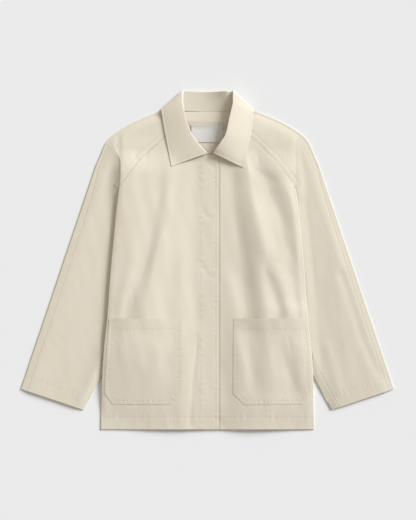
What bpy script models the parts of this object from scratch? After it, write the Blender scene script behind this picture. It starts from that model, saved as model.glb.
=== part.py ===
"""A barn jacket laid flat on its back: raglan sleeves beside the body, covered front, turned-down collar.

Metres. +X runs across the jacket to the wearer's left, +Y from hem to collar, +Z up from the surface it lies on.
The cloth lies in layers: sleeves, back, then fronts. Each piece is a grid of points on the face of its cloth,
and Solidify gives it its wall. Tables hold half of the jacket, as distances from the centre line.
"""

from bisect import bisect_right
from math import cos, exp, hypot, pi, radians, sin

import bpy
import numpy as np

# Sides of the jacket, as the sign of X
LEFT, RIGHT = 1, -1
SIDE_NAMES = {LEFT: "left", RIGHT: "right"}

# Cloth and the clearances between pieces
WALL = 0.0012
PLACKET_WALL = 0.0020
COLLAR_WALL = 0.0020
TAPE_WALL = 0.0010
SEAM_GAP = 0.0004
PLY_GAP = 0.0005

# Heights of the cloth's face above the surface
BODY_LOFT = 0.0056
NECK_RISE = 0.0040
NECK_CENTRE_Y = 0.300
NECK_SPREAD = (0.090, 0.080)
SIDE_RISE = 0.0030
SLEEVE_LOFT = 0.0060
SLEEVE_EDGE = 0.0029
OVER_SLEEVE = 0.0033
OVER_COLLAR = 0.0029

# Body
HEM_Y = -0.3735
ARMPIT_Y = 0.1600
SIDE_TURN = 0.0100
BACK_NECK_Y = 0.3275
PLACKET_INNER_X = -0.0180
PLACKET_EDGE_X = 0.0244
PLACKET_TOP_Y = 0.2320
UNDERLAP_X = -0.0240
UNDERLAP_DROP = 0.0023
UNDERARM_TURN = 0.0180

# Folded side of the body, hem to armpit
BODY_EDGE = (
    # y, x
    (-0.3735, 0.2350),
    (-0.2530, 0.2320),
    (-0.2030, 0.2290),
    (-0.1240, 0.2210),
    (-0.0420, 0.2150),
    (0.0460, 0.2070),
    (0.1120, 0.2006),
    (0.1600, 0.1945),
)

# Where the sleeve cap rolls over into the pleat above the armpit
CAP_FOLD = (
    # y, left x, right x
    (0.1600, 0.1945, 0.1935),
    (0.1975, 0.1912, 0.1915),
    (0.2250, 0.1866, 0.1935),
    (0.2450, 0.1860, 0.2010),
    (0.2700, 0.1860, 0.2110),
)

# Front neckline, from the underlap's edge to the raglan seam
FRONT_NECK = (
    # x, y
    (-0.0240, 0.2320),
    (0.0000, 0.2320),
    (0.0100, 0.2340),
    (0.0280, 0.2430),
    (0.0450, 0.2600),
    (0.0580, 0.2790),
    (0.0680, 0.2960),
)

# Sleeve below the armpit, cuff first: its outer fold, its inner fold, and the overarm seam's distance inside
SLEEVE_TUBE = (
    # outer x, y, inner x, y, overarm
    (0.4100, -0.2815, 0.2726, -0.3275, 0.013),
    (0.4040, -0.2650, 0.2640, -0.3120, 0.013),
    (0.3830, -0.2020, 0.2320, -0.2530, 0.013),
    (0.3610, -0.1370, 0.2030, -0.1900, 0.013),
    (0.3377, -0.0680, 0.1820, -0.1200, 0.013),
    (0.3124, 0.0077, 0.1700, -0.0400, 0.013),
    (0.2846, 0.0904, 0.1640, 0.0500, 0.012),
    (0.2664, 0.1446, 0.1630, 0.1100, 0.011),
    (0.2548, 0.1790, 0.1680, 0.1500, 0.009),
)

# Raglan cap above the armpit: its outer fold, front and back raglan seams, and the seams' distances inside
SLEEVE_CAP = (
    # outer x, y, front x, y, back x, y, overarm, underarm
    (0.2490, 0.1970, 0.1940, 0.1610, 0.1610, 0.1720, 0.007, 0.012),
    (0.2440, 0.2110, 0.1895, 0.1675, 0.1550, 0.1880, 0.006, 0.006),
    (0.2365, 0.2280, 0.1810, 0.1785, 0.1480, 0.2030, 0.005, 0.000),
    (0.2290, 0.2460, 0.1700, 0.1940, 0.1380, 0.2180, 0.005, 0.000),
    (0.2200, 0.2635, 0.1575, 0.2100, 0.1270, 0.2320, 0.005, 0.000),
    (0.2020, 0.2810, 0.1430, 0.2270, 0.1130, 0.2500, 0.005, 0.000),
    (0.1740, 0.2990, 0.1270, 0.2415, 0.0990, 0.2680, 0.005, 0.000),
    (0.1470, 0.3120, 0.1110, 0.2560, 0.0850, 0.2860, 0.005, 0.000),
    (0.1200, 0.3235, 0.0960, 0.2703, 0.0720, 0.3020, 0.005, 0.000),
    (0.1010, 0.3295, 0.0845, 0.2805, 0.0620, 0.3145, 0.005, 0.000),
    (0.0840, 0.3330, 0.0750, 0.2890, 0.0565, 0.3220, 0.005, 0.000),
    (0.0680, 0.3360, 0.0680, 0.2960, 0.0520, 0.3280, 0.004, 0.000),
)

# Collar sections: its seam at the neckline, the roll, and the outer edge. Heights are at mid cloth.
LEFT_LEAF = (
    # seam x, y, z, roll x, y, stand z, fall z, edge x, y, z
    (0.0145, 0.2385, 0.0074, 0.0125, 0.2365, 0.0078, 0.0112, 0.0788, 0.2047, 0.0082),
    (0.0305, 0.2475, 0.0076, 0.0210, 0.2485, 0.0086, 0.0122, 0.0840, 0.2260, 0.0084),
    (0.0440, 0.2625, 0.0079, 0.0310, 0.2630, 0.0094, 0.0130, 0.0890, 0.2470, 0.0086),
    (0.0560, 0.2805, 0.0080, 0.0405, 0.2800, 0.0100, 0.0136, 0.0950, 0.2710, 0.0088),
    (0.0660, 0.3060, 0.0079, 0.0477, 0.3130, 0.0104, 0.0140, 0.0985, 0.3000, 0.0089),
    (0.0663, 0.3230, 0.0074, 0.0545, 0.3430, 0.0100, 0.0136, 0.1005, 0.3220, 0.0086),
    (0.0664, 0.3315, 0.0066, 0.0552, 0.3600, 0.0086, 0.0114, 0.1014, 0.3290, 0.0076),
    (0.0662, 0.3380, 0.0052, 0.0555, 0.3712, 0.0054, 0.0062, 0.1015, 0.3330, 0.0046),
)
RIGHT_LEAF = (
    (0.0035, 0.2370, 0.0078, 0.0011, 0.2365, 0.0084, 0.0118, 0.0790, 0.2076, 0.0082),
    (0.0270, 0.2465, 0.0078, 0.0120, 0.2480, 0.0088, 0.0124, 0.0830, 0.2280, 0.0084),
    (0.0430, 0.2620, 0.0079, 0.0244, 0.2635, 0.0094, 0.0130, 0.0870, 0.2490, 0.0086),
    (0.0560, 0.2805, 0.0080, 0.0363, 0.2810, 0.0100, 0.0136, 0.0915, 0.2720, 0.0088),
    (0.0660, 0.3060, 0.0079, 0.0475, 0.3130, 0.0104, 0.0140, 0.0970, 0.3020, 0.0089),
    (0.0663, 0.3230, 0.0074, 0.0536, 0.3430, 0.0100, 0.0136, 0.1000, 0.3220, 0.0086),
    (0.0664, 0.3315, 0.0066, 0.0545, 0.3600, 0.0086, 0.0114, 0.1014, 0.3290, 0.0076),
    (0.0662, 0.3380, 0.0052, 0.0548, 0.3712, 0.0054, 0.0062, 0.1015, 0.3330, 0.0046),
)
BACK_COLLAR = (
    (0.0640, 0.3365, 0.0044, 0.0530, 0.3718, 0.0051, 0.0017, 0.0975, 0.3310, 0.0016),
    (0.0510, 0.3300, 0.0037, 0.0380, 0.3718, 0.0049, 0.0013, 0.0700, 0.3180, 0.0011),
    (0.0250, 0.3283, 0.0035, 0.0190, 0.3707, 0.0049, 0.0013, 0.0330, 0.3110, 0.0011),
    (0.0000, 0.3280, 0.0035, 0.0000, 0.3700, 0.0049, 0.0013, 0.0000, 0.3100, 0.0011),
)
ROLL_RADIUS = 0.0018
BACK_FALL_EDGE_Y = 0.310
BACK_FALL_RISE = 0.023
COLLAR_HALF_WIDTH = 0.1015

# Rows of the back along its centre line, with some at the ends of the label and the size tab
BACK_ROWS = (-0.3735, -0.3200, -0.2650, -0.2100, -0.1500, -0.0900, -0.0200, 0.0500, 0.1200, 0.1700) + (
    0.2200,
    0.2606,
    0.2769,
    0.2857,
    0.2989,
    0.3080,
    0.3170,
    BACK_NECK_Y,
)

# Patch pockets, bottom first, with cut lower corners
POCKET = (
    # y, inner x, outer x
    (-0.3155, 0.0810, 0.2080),
    (-0.2917, 0.0565, 0.2260),
    (-0.2600, 0.0565, 0.2248),
    (-0.2250, 0.0568, 0.2225),
    (-0.1900, 0.0570, 0.2200),
    (-0.1550, 0.0573, 0.2175),
    (-0.1264, 0.0575, 0.2160),
)
POCKET_MOUTH_Y = -0.1264
POCKET_GAP = 0.0008
POCKET_MOUTH_GAPE = 0.0014
POCKET_MOUTH_DEPTH = 0.020

# Label and size tab inside the back neck
LABEL = (-0.0356, 0.0339, 0.2606, 0.2989)
SIZE_TAB = (0.0346, 0.0460, 0.2769, 0.2857)

# Folds of the fronts, each along a path from its lower end up
FOLD_FADE = 0.030
FOLDS = (
    # height, half width, path of y, x
    (-0.0022, 0.011, ((-0.116, -0.165), (0.002, -0.129), (0.086, -0.109), (0.186, -0.101))),
    (0.0030, 0.020, ((-0.100, -0.192), (0.000, -0.160), (0.105, -0.142), (0.150, -0.132))),
    (0.0028, 0.016, ((-0.115, -0.095), (-0.040, -0.087), (0.046, -0.081), (0.170, -0.070))),
    (-0.0011, 0.008, ((-0.116, -0.060), (-0.040, -0.066), (0.060, -0.062))),
    (-0.0024, 0.011, ((-0.108, 0.100), (-0.042, 0.093), (0.024, 0.082), (0.134, 0.072), (0.190, 0.073))),
    (0.0034, 0.016, ((-0.060, 0.178), (0.046, 0.142), (0.134, 0.112), (0.180, 0.100))),
    (-0.0018, 0.009, ((0.028, 0.188), (0.072, 0.183), (0.129, 0.170), (0.162, 0.147), (0.200, 0.131))),
    (0.0028, 0.013, ((-0.116, 0.142), (-0.042, 0.118), (0.020, 0.108))),
    (-0.0020, 0.009, ((-0.124, 0.173), (-0.108, 0.164), (-0.042, 0.142), (0.030, 0.125))),
)

# Colours, linear
CANVAS_COLOUR = (0.720, 0.655, 0.535, 1.0)
COLLAR_COLOUR = (0.760, 0.700, 0.580, 1.0)
TAPE_COLOUR = (0.860, 0.840, 0.800, 1.0)


def smooth(share):
    share = min(max(share, 0.0), 1.0)
    return share * share * (3 - 2 * share)


def read(table, key, column=1):
    """A column of a table at a key, along a smooth curve through its rows."""
    keys = [row[0] for row in table]
    values = [row[column] for row in table]
    slopes = np.gradient(values, keys)
    i = min(max(bisect_right(keys, key) - 1, 0), len(keys) - 2)
    span = keys[i + 1] - keys[i]
    t = min(max((key - keys[i]) / span, 0.0), 1.0)
    rise = values[i + 1] - values[i]
    start, end = slopes[i] * span, slopes[i + 1] * span
    return values[i] + t * (start + t * (3 * rise - 2 * start - end + t * (start + end - 2 * rise)))


def between(rows, place):
    """The row at a fractional place in a table, along a smooth curve through its rows."""
    last = len(rows) - 1
    i = min(int(place), last - 1)
    t = place - i
    before, start, end, after = (np.array(rows[min(max(k, 0), last)]) for k in (i - 1, i, i + 1, i + 2))
    bend = 2 * before - 5 * start + 4 * end - after
    twist = 3 * start - before - 3 * end + after
    return start + 0.5 * t * (end - before + t * (bend + t * twist))


def steps(low, high, count):
    return [low + (high - low) * k / (count - 1) for k in range(count)]


# The jacket's main curves


def sleeve_stations():
    """Rows of outer fold, front seam, back edge, overarm and underarm distances, cuff to neckline."""
    rows = []
    for outer_x, outer_y, inner_x, inner_y, overarm in SLEEVE_TUBE:
        share = UNDERARM_TURN / hypot(outer_x - inner_x, outer_y - inner_y)
        seam_x = inner_x + (outer_x - inner_x) * share
        seam_y = inner_y + (outer_y - inner_y) * share
        rows.append((outer_x, outer_y, seam_x, seam_y, inner_x, inner_y, overarm, UNDERARM_TURN))
    return rows + list(SLEEVE_CAP)


STATIONS = sleeve_stations()
INNER_EDGE = tuple((row[5], row[4]) for row in STATIONS)
FRONT_RAGLAN = tuple((row[2], row[3]) for row in reversed(SLEEVE_CAP))
BACK_RAGLAN = ((0.0520, 0.3280), (0.0620, 0.3145), (0.0850, 0.2860), (0.1130, 0.2500)) + (
    (0.1380, 0.2180),
    (0.1500, 0.2000),
    (0.1680, 0.1770),
    (0.1842, 0.1580),
)


def body_edge(y):
    return read(BODY_EDGE, y)


def fold_edge(y, side):
    """The fold that lies over the sleeve: the body's side, and above the armpit the roll of the cap."""
    if y < ARMPIT_Y:
        return body_edge(y)
    return read(CAP_FOLD, y, 1 if side == LEFT else 2)


def over_sleeve(y):
    """How far the body's side is lifted by the sleeve under it: not at all near the hem."""
    return OVER_SLEEVE * smooth((y + 0.300) / 0.040)


def over_collar(x, y):
    """How far the back of the neck is lifted by the collar turned down behind it."""
    fall_edge = BACK_FALL_EDGE_Y + BACK_FALL_RISE * (abs(x) / COLLAR_HALF_WIDTH) ** 3
    return OVER_COLLAR * smooth((y - fall_edge + 0.022) / 0.020) * smooth((0.125 - abs(x)) / 0.020)


def relief(x, y):
    """The folds' height at a point of the fronts."""
    height = 0.0
    for depth, width, path in FOLDS:
        fade = smooth((path[-1][0] - y) / FOLD_FADE + 1) * smooth((y - path[0][0]) / FOLD_FADE + 1)
        if fade > 0:
            height += depth * fade * exp(-(((x - read(path, y)) / width) ** 2))
    return height


def front_height(x, y):
    """The face of the top layer, shared by the fronts, placket, pockets and sleeve caps."""
    neck = NECK_RISE * exp(-((x / NECK_SPREAD[0]) ** 2) - ((y - NECK_CENTRE_Y) / NECK_SPREAD[1]) ** 2)
    inside = read(INNER_EDGE, y) - 0.060
    side = smooth((abs(x) - inside) / 0.035) * smooth((0.240 - y) / 0.060) * over_sleeve(y) / OVER_SLEEVE
    return BODY_LOFT + neck + SIDE_RISE * side + relief(x, y)


def back_height(x, y):
    """The outer face of the back, which lies on the surface, the sleeves and the collar."""
    start = read(INNER_EDGE, y) - 0.032
    return over_collar(x, y) + over_sleeve(y) * smooth((abs(x) - start) / 0.022) * smooth((0.235 - y) / 0.040)


def tube_height(x, y, outward, inward, side):
    """The sleeve's upper face, low at its folds and where the body lies on it."""
    past_fold = x - fold_edge(y, side)
    loft = smooth(outward / 0.045) * smooth(inward / 0.045) * smooth((past_fold - 0.002) / 0.035)
    return over_collar(x, y) + SLEEVE_EDGE + (SLEEVE_LOFT - SLEEVE_EDGE) * loft


def sleeve_height(x, y, outward, inward, side):
    """The sleeve's upper face, which rises to the fronts' on the cap inside the pleat."""
    tube = tube_height(x, y, outward, inward, side)
    past_fold = x - fold_edge(y, side)
    pleat = smooth((0.268 - y) / 0.033) * (1 - smooth((0.003 - past_fold) / 0.008))
    cap = smooth(outward / 0.045) * (1 - pleat) * smooth((y - ARMPIT_Y) / 0.008)
    return tube + (front_height(side * x, y) - tube) * cap


# Making a piece from rows of points


def material(name, colour, roughness):
    made = bpy.data.materials.new(name)
    made.use_nodes = True
    shader = made.node_tree.nodes["Principled BSDF"]
    shader.inputs["Base Color"].default_value = colour
    shader.inputs["Roughness"].default_value = roughness
    return made


def cloth(name, rows, wall, colour, face_up=True, offset=-1.0):
    """A closed piece of cloth: quads between rows of points on its face, and Solidify for its wall.

    Rows run up and their points to +X. A row may hold fewer points than its neighbour at its far end.
    An offset of 0 puts the points at mid wall, as the tightly rolled collar needs.
    """
    points = [point for row in rows for point in row]
    starts = np.cumsum([0] + [len(row) for row in rows])
    faces = []
    for i in range(len(rows) - 1):
        for j in range(min(len(rows[i]), len(rows[i + 1])) - 1):
            low, high = int(starts[i]) + j, int(starts[i + 1]) + j
            quad = (low, low + 1, high + 1, high)
            faces.append(quad if face_up else quad[::-1])
    mesh = bpy.data.meshes.new(name)
    mesh.from_pydata(points, [], faces)
    piece = bpy.data.objects.new(name, mesh)
    bpy.context.collection.objects.link(piece)
    bpy.context.view_layer.objects.active = piece
    solidify = piece.modifiers.new("Wall", "SOLIDIFY")
    solidify.thickness = wall
    solidify.offset = offset
    solidify.use_even_offset = offset != 0
    bpy.ops.object.modifier_apply(modifier=solidify.name)
    mesh.shade_smooth()
    mesh.set_sharp_from_angle(angle=radians(40))
    mesh.materials.append(material(name, colour, 0.85))
    return piece


def mirrored(rows, side):
    return [[(side * x, y, z) for x, y, z in row] for row in rows]


def half_circle(x, y, low, high, count):
    """Points round a fold at x, from its upper face to its lower one."""
    radius = (high - low) / 2
    turns = [pi / 2 - pi * k / count for k in range(1, count)]
    return [(x + radius * cos(turn), y, low + radius + radius * sin(turn)) for turn in turns]


# Body pieces


def side_radius(y, side):
    return (front_height(side * (body_edge(y) - 0.003), y) - over_sleeve(y)) / 2


def front_rows(side):
    """A front from its inner edge across to the side, round the side fold and a little under."""
    if side == LEFT:
        columns = [UNDERLAP_X, 0.0000, 0.0150, 0.0245, 0.0280, 0.0340, 0.0450, 0.0560]
    else:
        columns = [-PLACKET_INNER_X, 0.0280, 0.0370, 0.0460, 0.0560]
    columns += [point[0] for point in FRONT_RAGLAN if point[0] < 0.192]
    inner = columns[0]
    armpit_edge = body_edge(ARMPIT_Y) - side_radius(ARMPIT_Y, side)
    columns.append(armpit_edge)
    rows = []
    for share in steps(0, 1, 22):
        row = []
        for column in columns:
            if column == armpit_edge:
                top = ARMPIT_Y
            elif column < FRONT_RAGLAN[0][0]:
                top = read(FRONT_NECK, column)
            else:
                top = read(FRONT_RAGLAN, column) - 1.5 * SEAM_GAP
            y = HEM_Y + (top - HEM_Y) * share
            below = min(y, ARMPIT_Y)
            edge = body_edge(below) - side_radius(below, side)
            widened = inner + (column - inner) * (edge - inner) / (armpit_edge - inner)
            spread = smooth((column - PLACKET_EDGE_X) / 0.030)
            x = column + (widened - column) * spread
            z = front_height(side * x, y)
            if side == LEFT:
                z -= UNDERLAP_DROP * smooth((PLACKET_EDGE_X + 0.009 - x) / 0.008)
            row.append((x, y, z))
        y = row[-1][1]
        radius = side_radius(y, side)
        low = over_sleeve(y)
        edge = body_edge(y) - radius
        row[-1] = (edge, y, low + 2 * radius)
        row += half_circle(edge, y, low, low + 2 * radius, 5)
        row += [(x, y, low) for x in steps(edge, body_edge(y) - SIDE_TURN, 3)]
        rows.append(row)
    return mirrored(rows, side)


def make_front(side):
    cloth("front_" + SIDE_NAMES[side], front_rows(side), WALL, CANVAS_COLOUR, face_up=side == LEFT)


def make_placket():
    columns = steps(PLACKET_INNER_X + SEAM_GAP, PLACKET_EDGE_X, 5)
    rows = []
    for y in steps(HEM_Y, PLACKET_TOP_Y, 22):
        rows.append([(x, y, front_height(x, y) + 0.0003) for x in columns])
    cloth("placket", rows, PLACKET_WALL, CANVAS_COLOUR)


def make_back():
    half = sorted([0.0, 0.018, 0.036, 0.073, 0.099, 0.126, 0.159, 0.176] + [point[0] for point in BACK_RAGLAN])
    columns = [-x for x in reversed(half[1:])] + half
    rows = []
    for level in BACK_ROWS:
        share = (level - HEM_Y) / (BACK_NECK_Y - HEM_Y)
        row = []
        for column in columns:
            size = abs(column)
            if size <= BACK_RAGLAN[0][0]:
                top = BACK_NECK_Y
            else:
                top = read(BACK_RAGLAN, size) - 1.5 * SEAM_GAP
            y = HEM_Y + (top - HEM_Y) * share
            edge = body_edge(min(y, ARMPIT_Y)) - SIDE_TURN - SEAM_GAP
            x = column * edge / (body_edge(ARMPIT_Y) - SIDE_TURN)
            row.append((x, y, back_height(x, y)))
        rows.append(row)
    cloth("back", rows, WALL, CANVAS_COLOUR, face_up=False)


def make_pocket(side):
    rows = []
    for y, inner, outer in POCKET:
        gape = POCKET_MOUTH_GAPE * smooth(1 - (POCKET_MOUTH_Y - y) / POCKET_MOUTH_DEPTH)
        rows.append([(x, y, front_height(side * x, y) + POCKET_GAP + WALL + gape) for x in steps(inner, outer, 12)])
    cloth("pocket_" + SIDE_NAMES[side], mirrored(rows, side), WALL, CANVAS_COLOUR, face_up=side == LEFT)


def make_tape(name, left, right, low, high):
    """A flat tape sewn on the inside of the back, made from the back's own points."""
    rows = []
    levels = [low] + [level for level in BACK_ROWS if low < level < high] + [high]
    for y in levels:
        inside = [(x, y, back_height(x, y) + WALL) for x in steps(left, right, 4)]
        rows.append([(x, y, z + PLY_GAP + TAPE_WALL) for x, y, z in inside])
    cloth(name, rows, TAPE_WALL, TAPE_COLOUR)


# Sleeves


def along(station, distance, to_back):
    """The point at a distance in from the outer fold, towards the front seam or the back edge."""
    end_x, end_y = (station[4], station[5]) if to_back else (station[2], station[3])
    length = hypot(station[0] - end_x, station[1] - end_y)
    share = distance / length
    return station[0] + (end_x - station[0]) * share, station[1] + (end_y - station[1]) * share


def reach(station, to_back):
    end = 4 if to_back else 2
    return hypot(station[0] - station[end], station[1] - station[end + 1])


def find_fold(station, side):
    """The distance in from the outer fold at which a station meets the fold that lies over the sleeve."""
    low, high = 0.0, reach(station, False)
    for _ in range(20):
        middle = (low + high) / 2
        x, y = along(station, middle, False)
        if x > fold_edge(y, side):
            low = middle
        else:
            high = middle
    return low


def front_marks(station, side):
    """Distances of the front piece's columns, close together where the body's fold lies over it."""
    first, last = station[6] + SEAM_GAP / 2, reach(station, False)
    fold = find_fold(station, side)
    marks = steps(first, fold - 0.045, 5)
    marks += [fold + past for past in (-0.028, -0.016, -0.008, -0.003, 0.001, 0.005)]
    marks += [(fold + last) / 2 + 0.003, last]
    even = steps(first, last, len(marks))
    evenness = smooth((station[1] - 0.255) / 0.040)
    marks = [mark + (plain - mark) * evenness for mark, plain in zip(marks, even)]
    least = min(0.0012, (last - first) / len(marks))
    for j in range(1, len(marks)):
        marks[j] = max(marks[j], first + j * least, marks[j - 1] + least)
    marks[-1] = last
    for j in range(len(marks) - 2, 0, -1):
        marks[j] = min(marks[j], marks[j + 1] - least)
    return marks


def sleeve_point(station, distance, side):
    x, y = along(station, distance, False)
    inward = hypot(x - station[4], y - station[5])
    return x, y, sleeve_height(x, y, distance, inward, side)


STATION_PLACES = [0, 1, 2, 2.5, 3, 3.5, 4, 4.5, 5, 5.5, 6, 6.5, 7, 7.5] + steps(8, 20, 13)


def make_sleeve_front(side):
    rows = []
    for place in STATION_PLACES:
        station = between(STATIONS, place)
        marks = front_marks(station, side)
        rows.append([sleeve_point(station, mark, side) for mark in reversed(marks)])
    name = "sleeve_front_" + SIDE_NAMES[side]
    cloth(name, mirrored(rows, side), WALL, CANVAS_COLOUR, face_up=side == LEFT)


def under_turn(station, distance):
    """The point at a distance out from the inner fold, towards the underarm seam."""
    run_x, run_y = station[2] - station[4], station[3] - station[5]
    share = distance / hypot(run_x, run_y)
    return station[4] + run_x * share, station[5] + run_y * share


def fold_points(radius, place_at):
    """Points round a sleeve's fold, from its upper face to its lower one; place_at gives x, y at a depth."""
    points = []
    for k in range(1, 4):
        turn = pi / 2 - pi * k / 4
        x, y = place_at(radius - radius * cos(turn))
        points.append((x, y, over_collar(x, y) + radius + radius * sin(turn)))
    return points


def make_sleeve_back(side):
    radius = SLEEVE_EDGE / 2
    rows = []
    for place in STATION_PLACES:
        station = between(STATIONS, place)
        whole = reach(station, True)
        folded = station[7] > 0.004
        row = [sleeve_point(station, mark, side) for mark in steps(station[6] - SEAM_GAP / 2, radius, 3)]
        row += fold_points(radius, lambda depth: along(station, depth, False))
        for mark in steps(radius, whole - radius if folded else whole, 5):
            x, y = along(station, mark, True)
            row.append((x, y, over_collar(x, y)))
        if folded:
            row += reversed(fold_points(radius, lambda depth: under_turn(station, depth)))
            to_seam = hypot(station[2] - station[4], station[3] - station[5])
            for mark in steps(radius, min(station[7], to_seam) - SEAM_GAP, 3):
                x, y = under_turn(station, mark)
                row.append((x, y, tube_height(x, y, whole - mark, mark, side)))
        rows.append(row)
    name = "sleeve_back_" + SIDE_NAMES[side]
    cloth(name, mirrored(rows, side), WALL, CANVAS_COLOUR, face_up=side == LEFT)


# Collar


def unit(vector):
    return vector / max(np.linalg.norm(vector), 1e-9)


def collar_section(row):
    """Points across the collar: up the stand from the neckline, over the roll and down the fall."""
    seam, edge = np.array(row[0:3]), np.array(row[7:10])
    roll_x, roll_y, stand_z, fall_z = row[3:7]
    middle, half = (stand_z + fall_z) / 2, (fall_z - stand_z) / 2
    roll = np.array((roll_x, roll_y, middle))
    to_seam, to_edge = (unit(end[:2] - roll[:2]) for end in (seam, edge))
    away = np.append(unit(to_seam + to_edge), 0.0) * ROLL_RADIUS
    apart = (max(ROLL_RADIUS**2 - half**2, 0.0)) ** 0.5
    across = np.append(unit(to_edge - to_seam) * apart, half)
    turns = [k * pi / 6 for k in range(-3, 4)]
    points = [roll + away * (1 - cos(turn)) + across * sin(turn) for turn in turns]
    stand = [seam + (points[0] - seam) * share for share in (0, 1 / 3, 2 / 3)]
    fall = [points[-1] + (edge - points[-1]) * share for share in (0.25, 0.5, 0.75, 1)]
    return [tuple(point) for point in stand + points + fall]


def make_collar():
    mirror = np.array((-1, 1, 1, -1, 1, 1, 1, -1, 1, 1))
    right = [np.array(row) * mirror for row in RIGHT_LEAF + BACK_COLLAR]
    left = [np.array(row) for row in LEFT_LEAF + BACK_COLLAR[:-1]]
    table = right + left[::-1]
    places = steps(0, len(table) - 1, 2 * len(table) - 1)
    rows = [collar_section(between(table, place)) for place in places]
    cloth("collar", rows, COLLAR_WALL, COLLAR_COLOUR, offset=0.0)


def main():
    for old in list(bpy.data.objects):
        bpy.data.objects.remove(old)
    make_back()
    make_tape("label", *LABEL)
    make_tape("size_tab", *SIZE_TAB)
    for side in (RIGHT, LEFT):
        make_sleeve_back(side)
        make_sleeve_front(side)
        make_front(side)
        make_pocket(side)
    make_placket()
    make_collar()


main()
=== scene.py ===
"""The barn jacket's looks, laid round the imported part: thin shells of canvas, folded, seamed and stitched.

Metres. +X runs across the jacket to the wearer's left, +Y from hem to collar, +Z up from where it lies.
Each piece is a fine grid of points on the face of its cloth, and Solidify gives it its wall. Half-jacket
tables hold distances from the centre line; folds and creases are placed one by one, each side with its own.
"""

from math import hypot, pi, radians

import bpy
import numpy as np
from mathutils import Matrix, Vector
from mathutils.bvhtree import BVHTree


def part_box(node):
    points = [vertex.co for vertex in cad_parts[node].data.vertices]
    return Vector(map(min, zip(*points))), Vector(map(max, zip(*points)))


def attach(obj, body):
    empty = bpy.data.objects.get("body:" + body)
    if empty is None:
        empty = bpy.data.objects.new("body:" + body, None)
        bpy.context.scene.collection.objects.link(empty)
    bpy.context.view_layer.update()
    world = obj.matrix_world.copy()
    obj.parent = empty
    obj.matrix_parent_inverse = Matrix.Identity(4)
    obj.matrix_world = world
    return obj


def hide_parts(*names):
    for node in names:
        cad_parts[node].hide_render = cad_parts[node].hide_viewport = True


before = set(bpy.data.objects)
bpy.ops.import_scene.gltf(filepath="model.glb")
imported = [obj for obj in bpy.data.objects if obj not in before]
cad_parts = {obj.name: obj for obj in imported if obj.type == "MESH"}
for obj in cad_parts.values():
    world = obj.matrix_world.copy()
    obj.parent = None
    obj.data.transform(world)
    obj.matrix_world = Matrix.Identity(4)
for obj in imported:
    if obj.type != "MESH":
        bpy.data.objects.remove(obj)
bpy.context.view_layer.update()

# Sides of the jacket, as the sign of X
LEFT, RIGHT = 1, -1
SIDE_NAMES = {LEFT: "left", RIGHT: "right"}

# Cloth and the clearances between pieces
WALL = 0.0010
PLACKET_WALL = 0.0010
POCKET_WALL = 0.0005
COLLAR_WALL = 0.0008
TAPE_WALL = 0.0010
SEAM_GAP = 0.0004
SEAM_CRACK = 0.00005
PLY_GAP = 0.0005

# Heights of the cloth's face above the surface
BODY_LOFT = 0.0056
NECK_RISE = 0.0040
NECK_CENTRE_Y = 0.300
NECK_SPREAD = (0.090, 0.080)
NECK_TUCK = 0.0002
SIDE_RISE = {LEFT: 0.0010, RIGHT: 0.0054}
SIDE_ROLL = 0.0015
SIDE_ROLL_REACH = {LEFT: 0.016, RIGHT: 0.012}
SLEEVE_SWELL = 0.0019
SLEEVE_EDGE = 0.0023
FOLD_DEPTH = 0.0002
SIDE_FOLD_DEPTH = 0.0014
UNDERCUT = 0.0022
HUG_GAP = 0.0004
ARMPIT_BLEND = 0.030
ARMPIT_STEP = 0.0015
HEM_DROP = 0.0018
HEM_DROP_REACH = 0.060
LEAST_AIR = 0.0003
OVER_SLEEVE = 0.0028
OVER_COLLAR = 0.0029
PLACKET_GAP = 0.0001
PLACKET_EDGE_DROP = 0.0002
TAPE_RISE = 0.0003

# Where forms start or end up the jacket: the place in Y, and the length over which they fade
FOLDS_END = (0.280, 0.035)
CREASES_END = (0.255, 0.030)
SIDE_RISE_START = (-0.350, 0.160)
SIDE_RISE_END = (0.250, 0.060)
OVER_SLEEVE_START = (-0.300, 0.040)
OVER_SLEEVE_END = (0.235, 0.040)

# Unevenness of the cloth: its soft waves and its small ones
BODY_RUMPLE = (0.00013, 0.00002)
SLEEVE_RUMPLE = (0.00009, 0.00002)

# Columns and lines of each piece's grid of points
FRONT_COLUMNS = {LEFT: 90, RIGHT: 76}
FRONT_LINES = 270
FRONT_EDGE_STEPS = (0.0016, 0.0007, 0.0002, 0.0)
FOLD_STEPS = 12
TURNED_COLUMNS = 5
PLACKET_COLUMNS = 26
PLACKET_LINES = 300
BACK_COLUMNS = 60
BACK_BODY_LINES = 110
BACK_NECK_LINES = 60
POCKET_COLUMNS = 90
POCKET_CORNER_LINES = 14
POCKET_LINES = 80
TAPE_COLUMNS = 48
TAPE_LINES = 30
SLEEVE_COLUMNS = 74
SLEEVE_FOLD_STEPS = 10
SLEEVE_STRIP_COLUMNS = 10
SLEEVE_UNDER_COLUMNS = 22
SLEEVE_TURNED_COLUMNS = 8
COLLAR_LINES = 230
STAND_POINTS = 12
ROLL_POINTS = 13
FALL_POINTS = 36
FALL_START = STAND_POINTS - 1 + ROLL_POINTS

# Body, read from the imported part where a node's box gives it
HEM_Y = -0.3702
BACK_NECK_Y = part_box("back")[1].y
PLACKET_EDGE_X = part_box("placket")[1].x
PLACKET_TOP_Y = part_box("placket")[1].y
PLACKET_INNER_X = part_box("front_right")[1].x
UNDERLAP_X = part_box("front_left")[0].x
ARMPIT_Y = 0.1600
SIDE_TURN = 0.0100
UNDERLAP_DROP = 0.0014
UNDERLAP_STEP = (0.0026, 0.0022)
WIDENING_REACH = 0.030
UNDERARM_TURN = 0.0180

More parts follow.
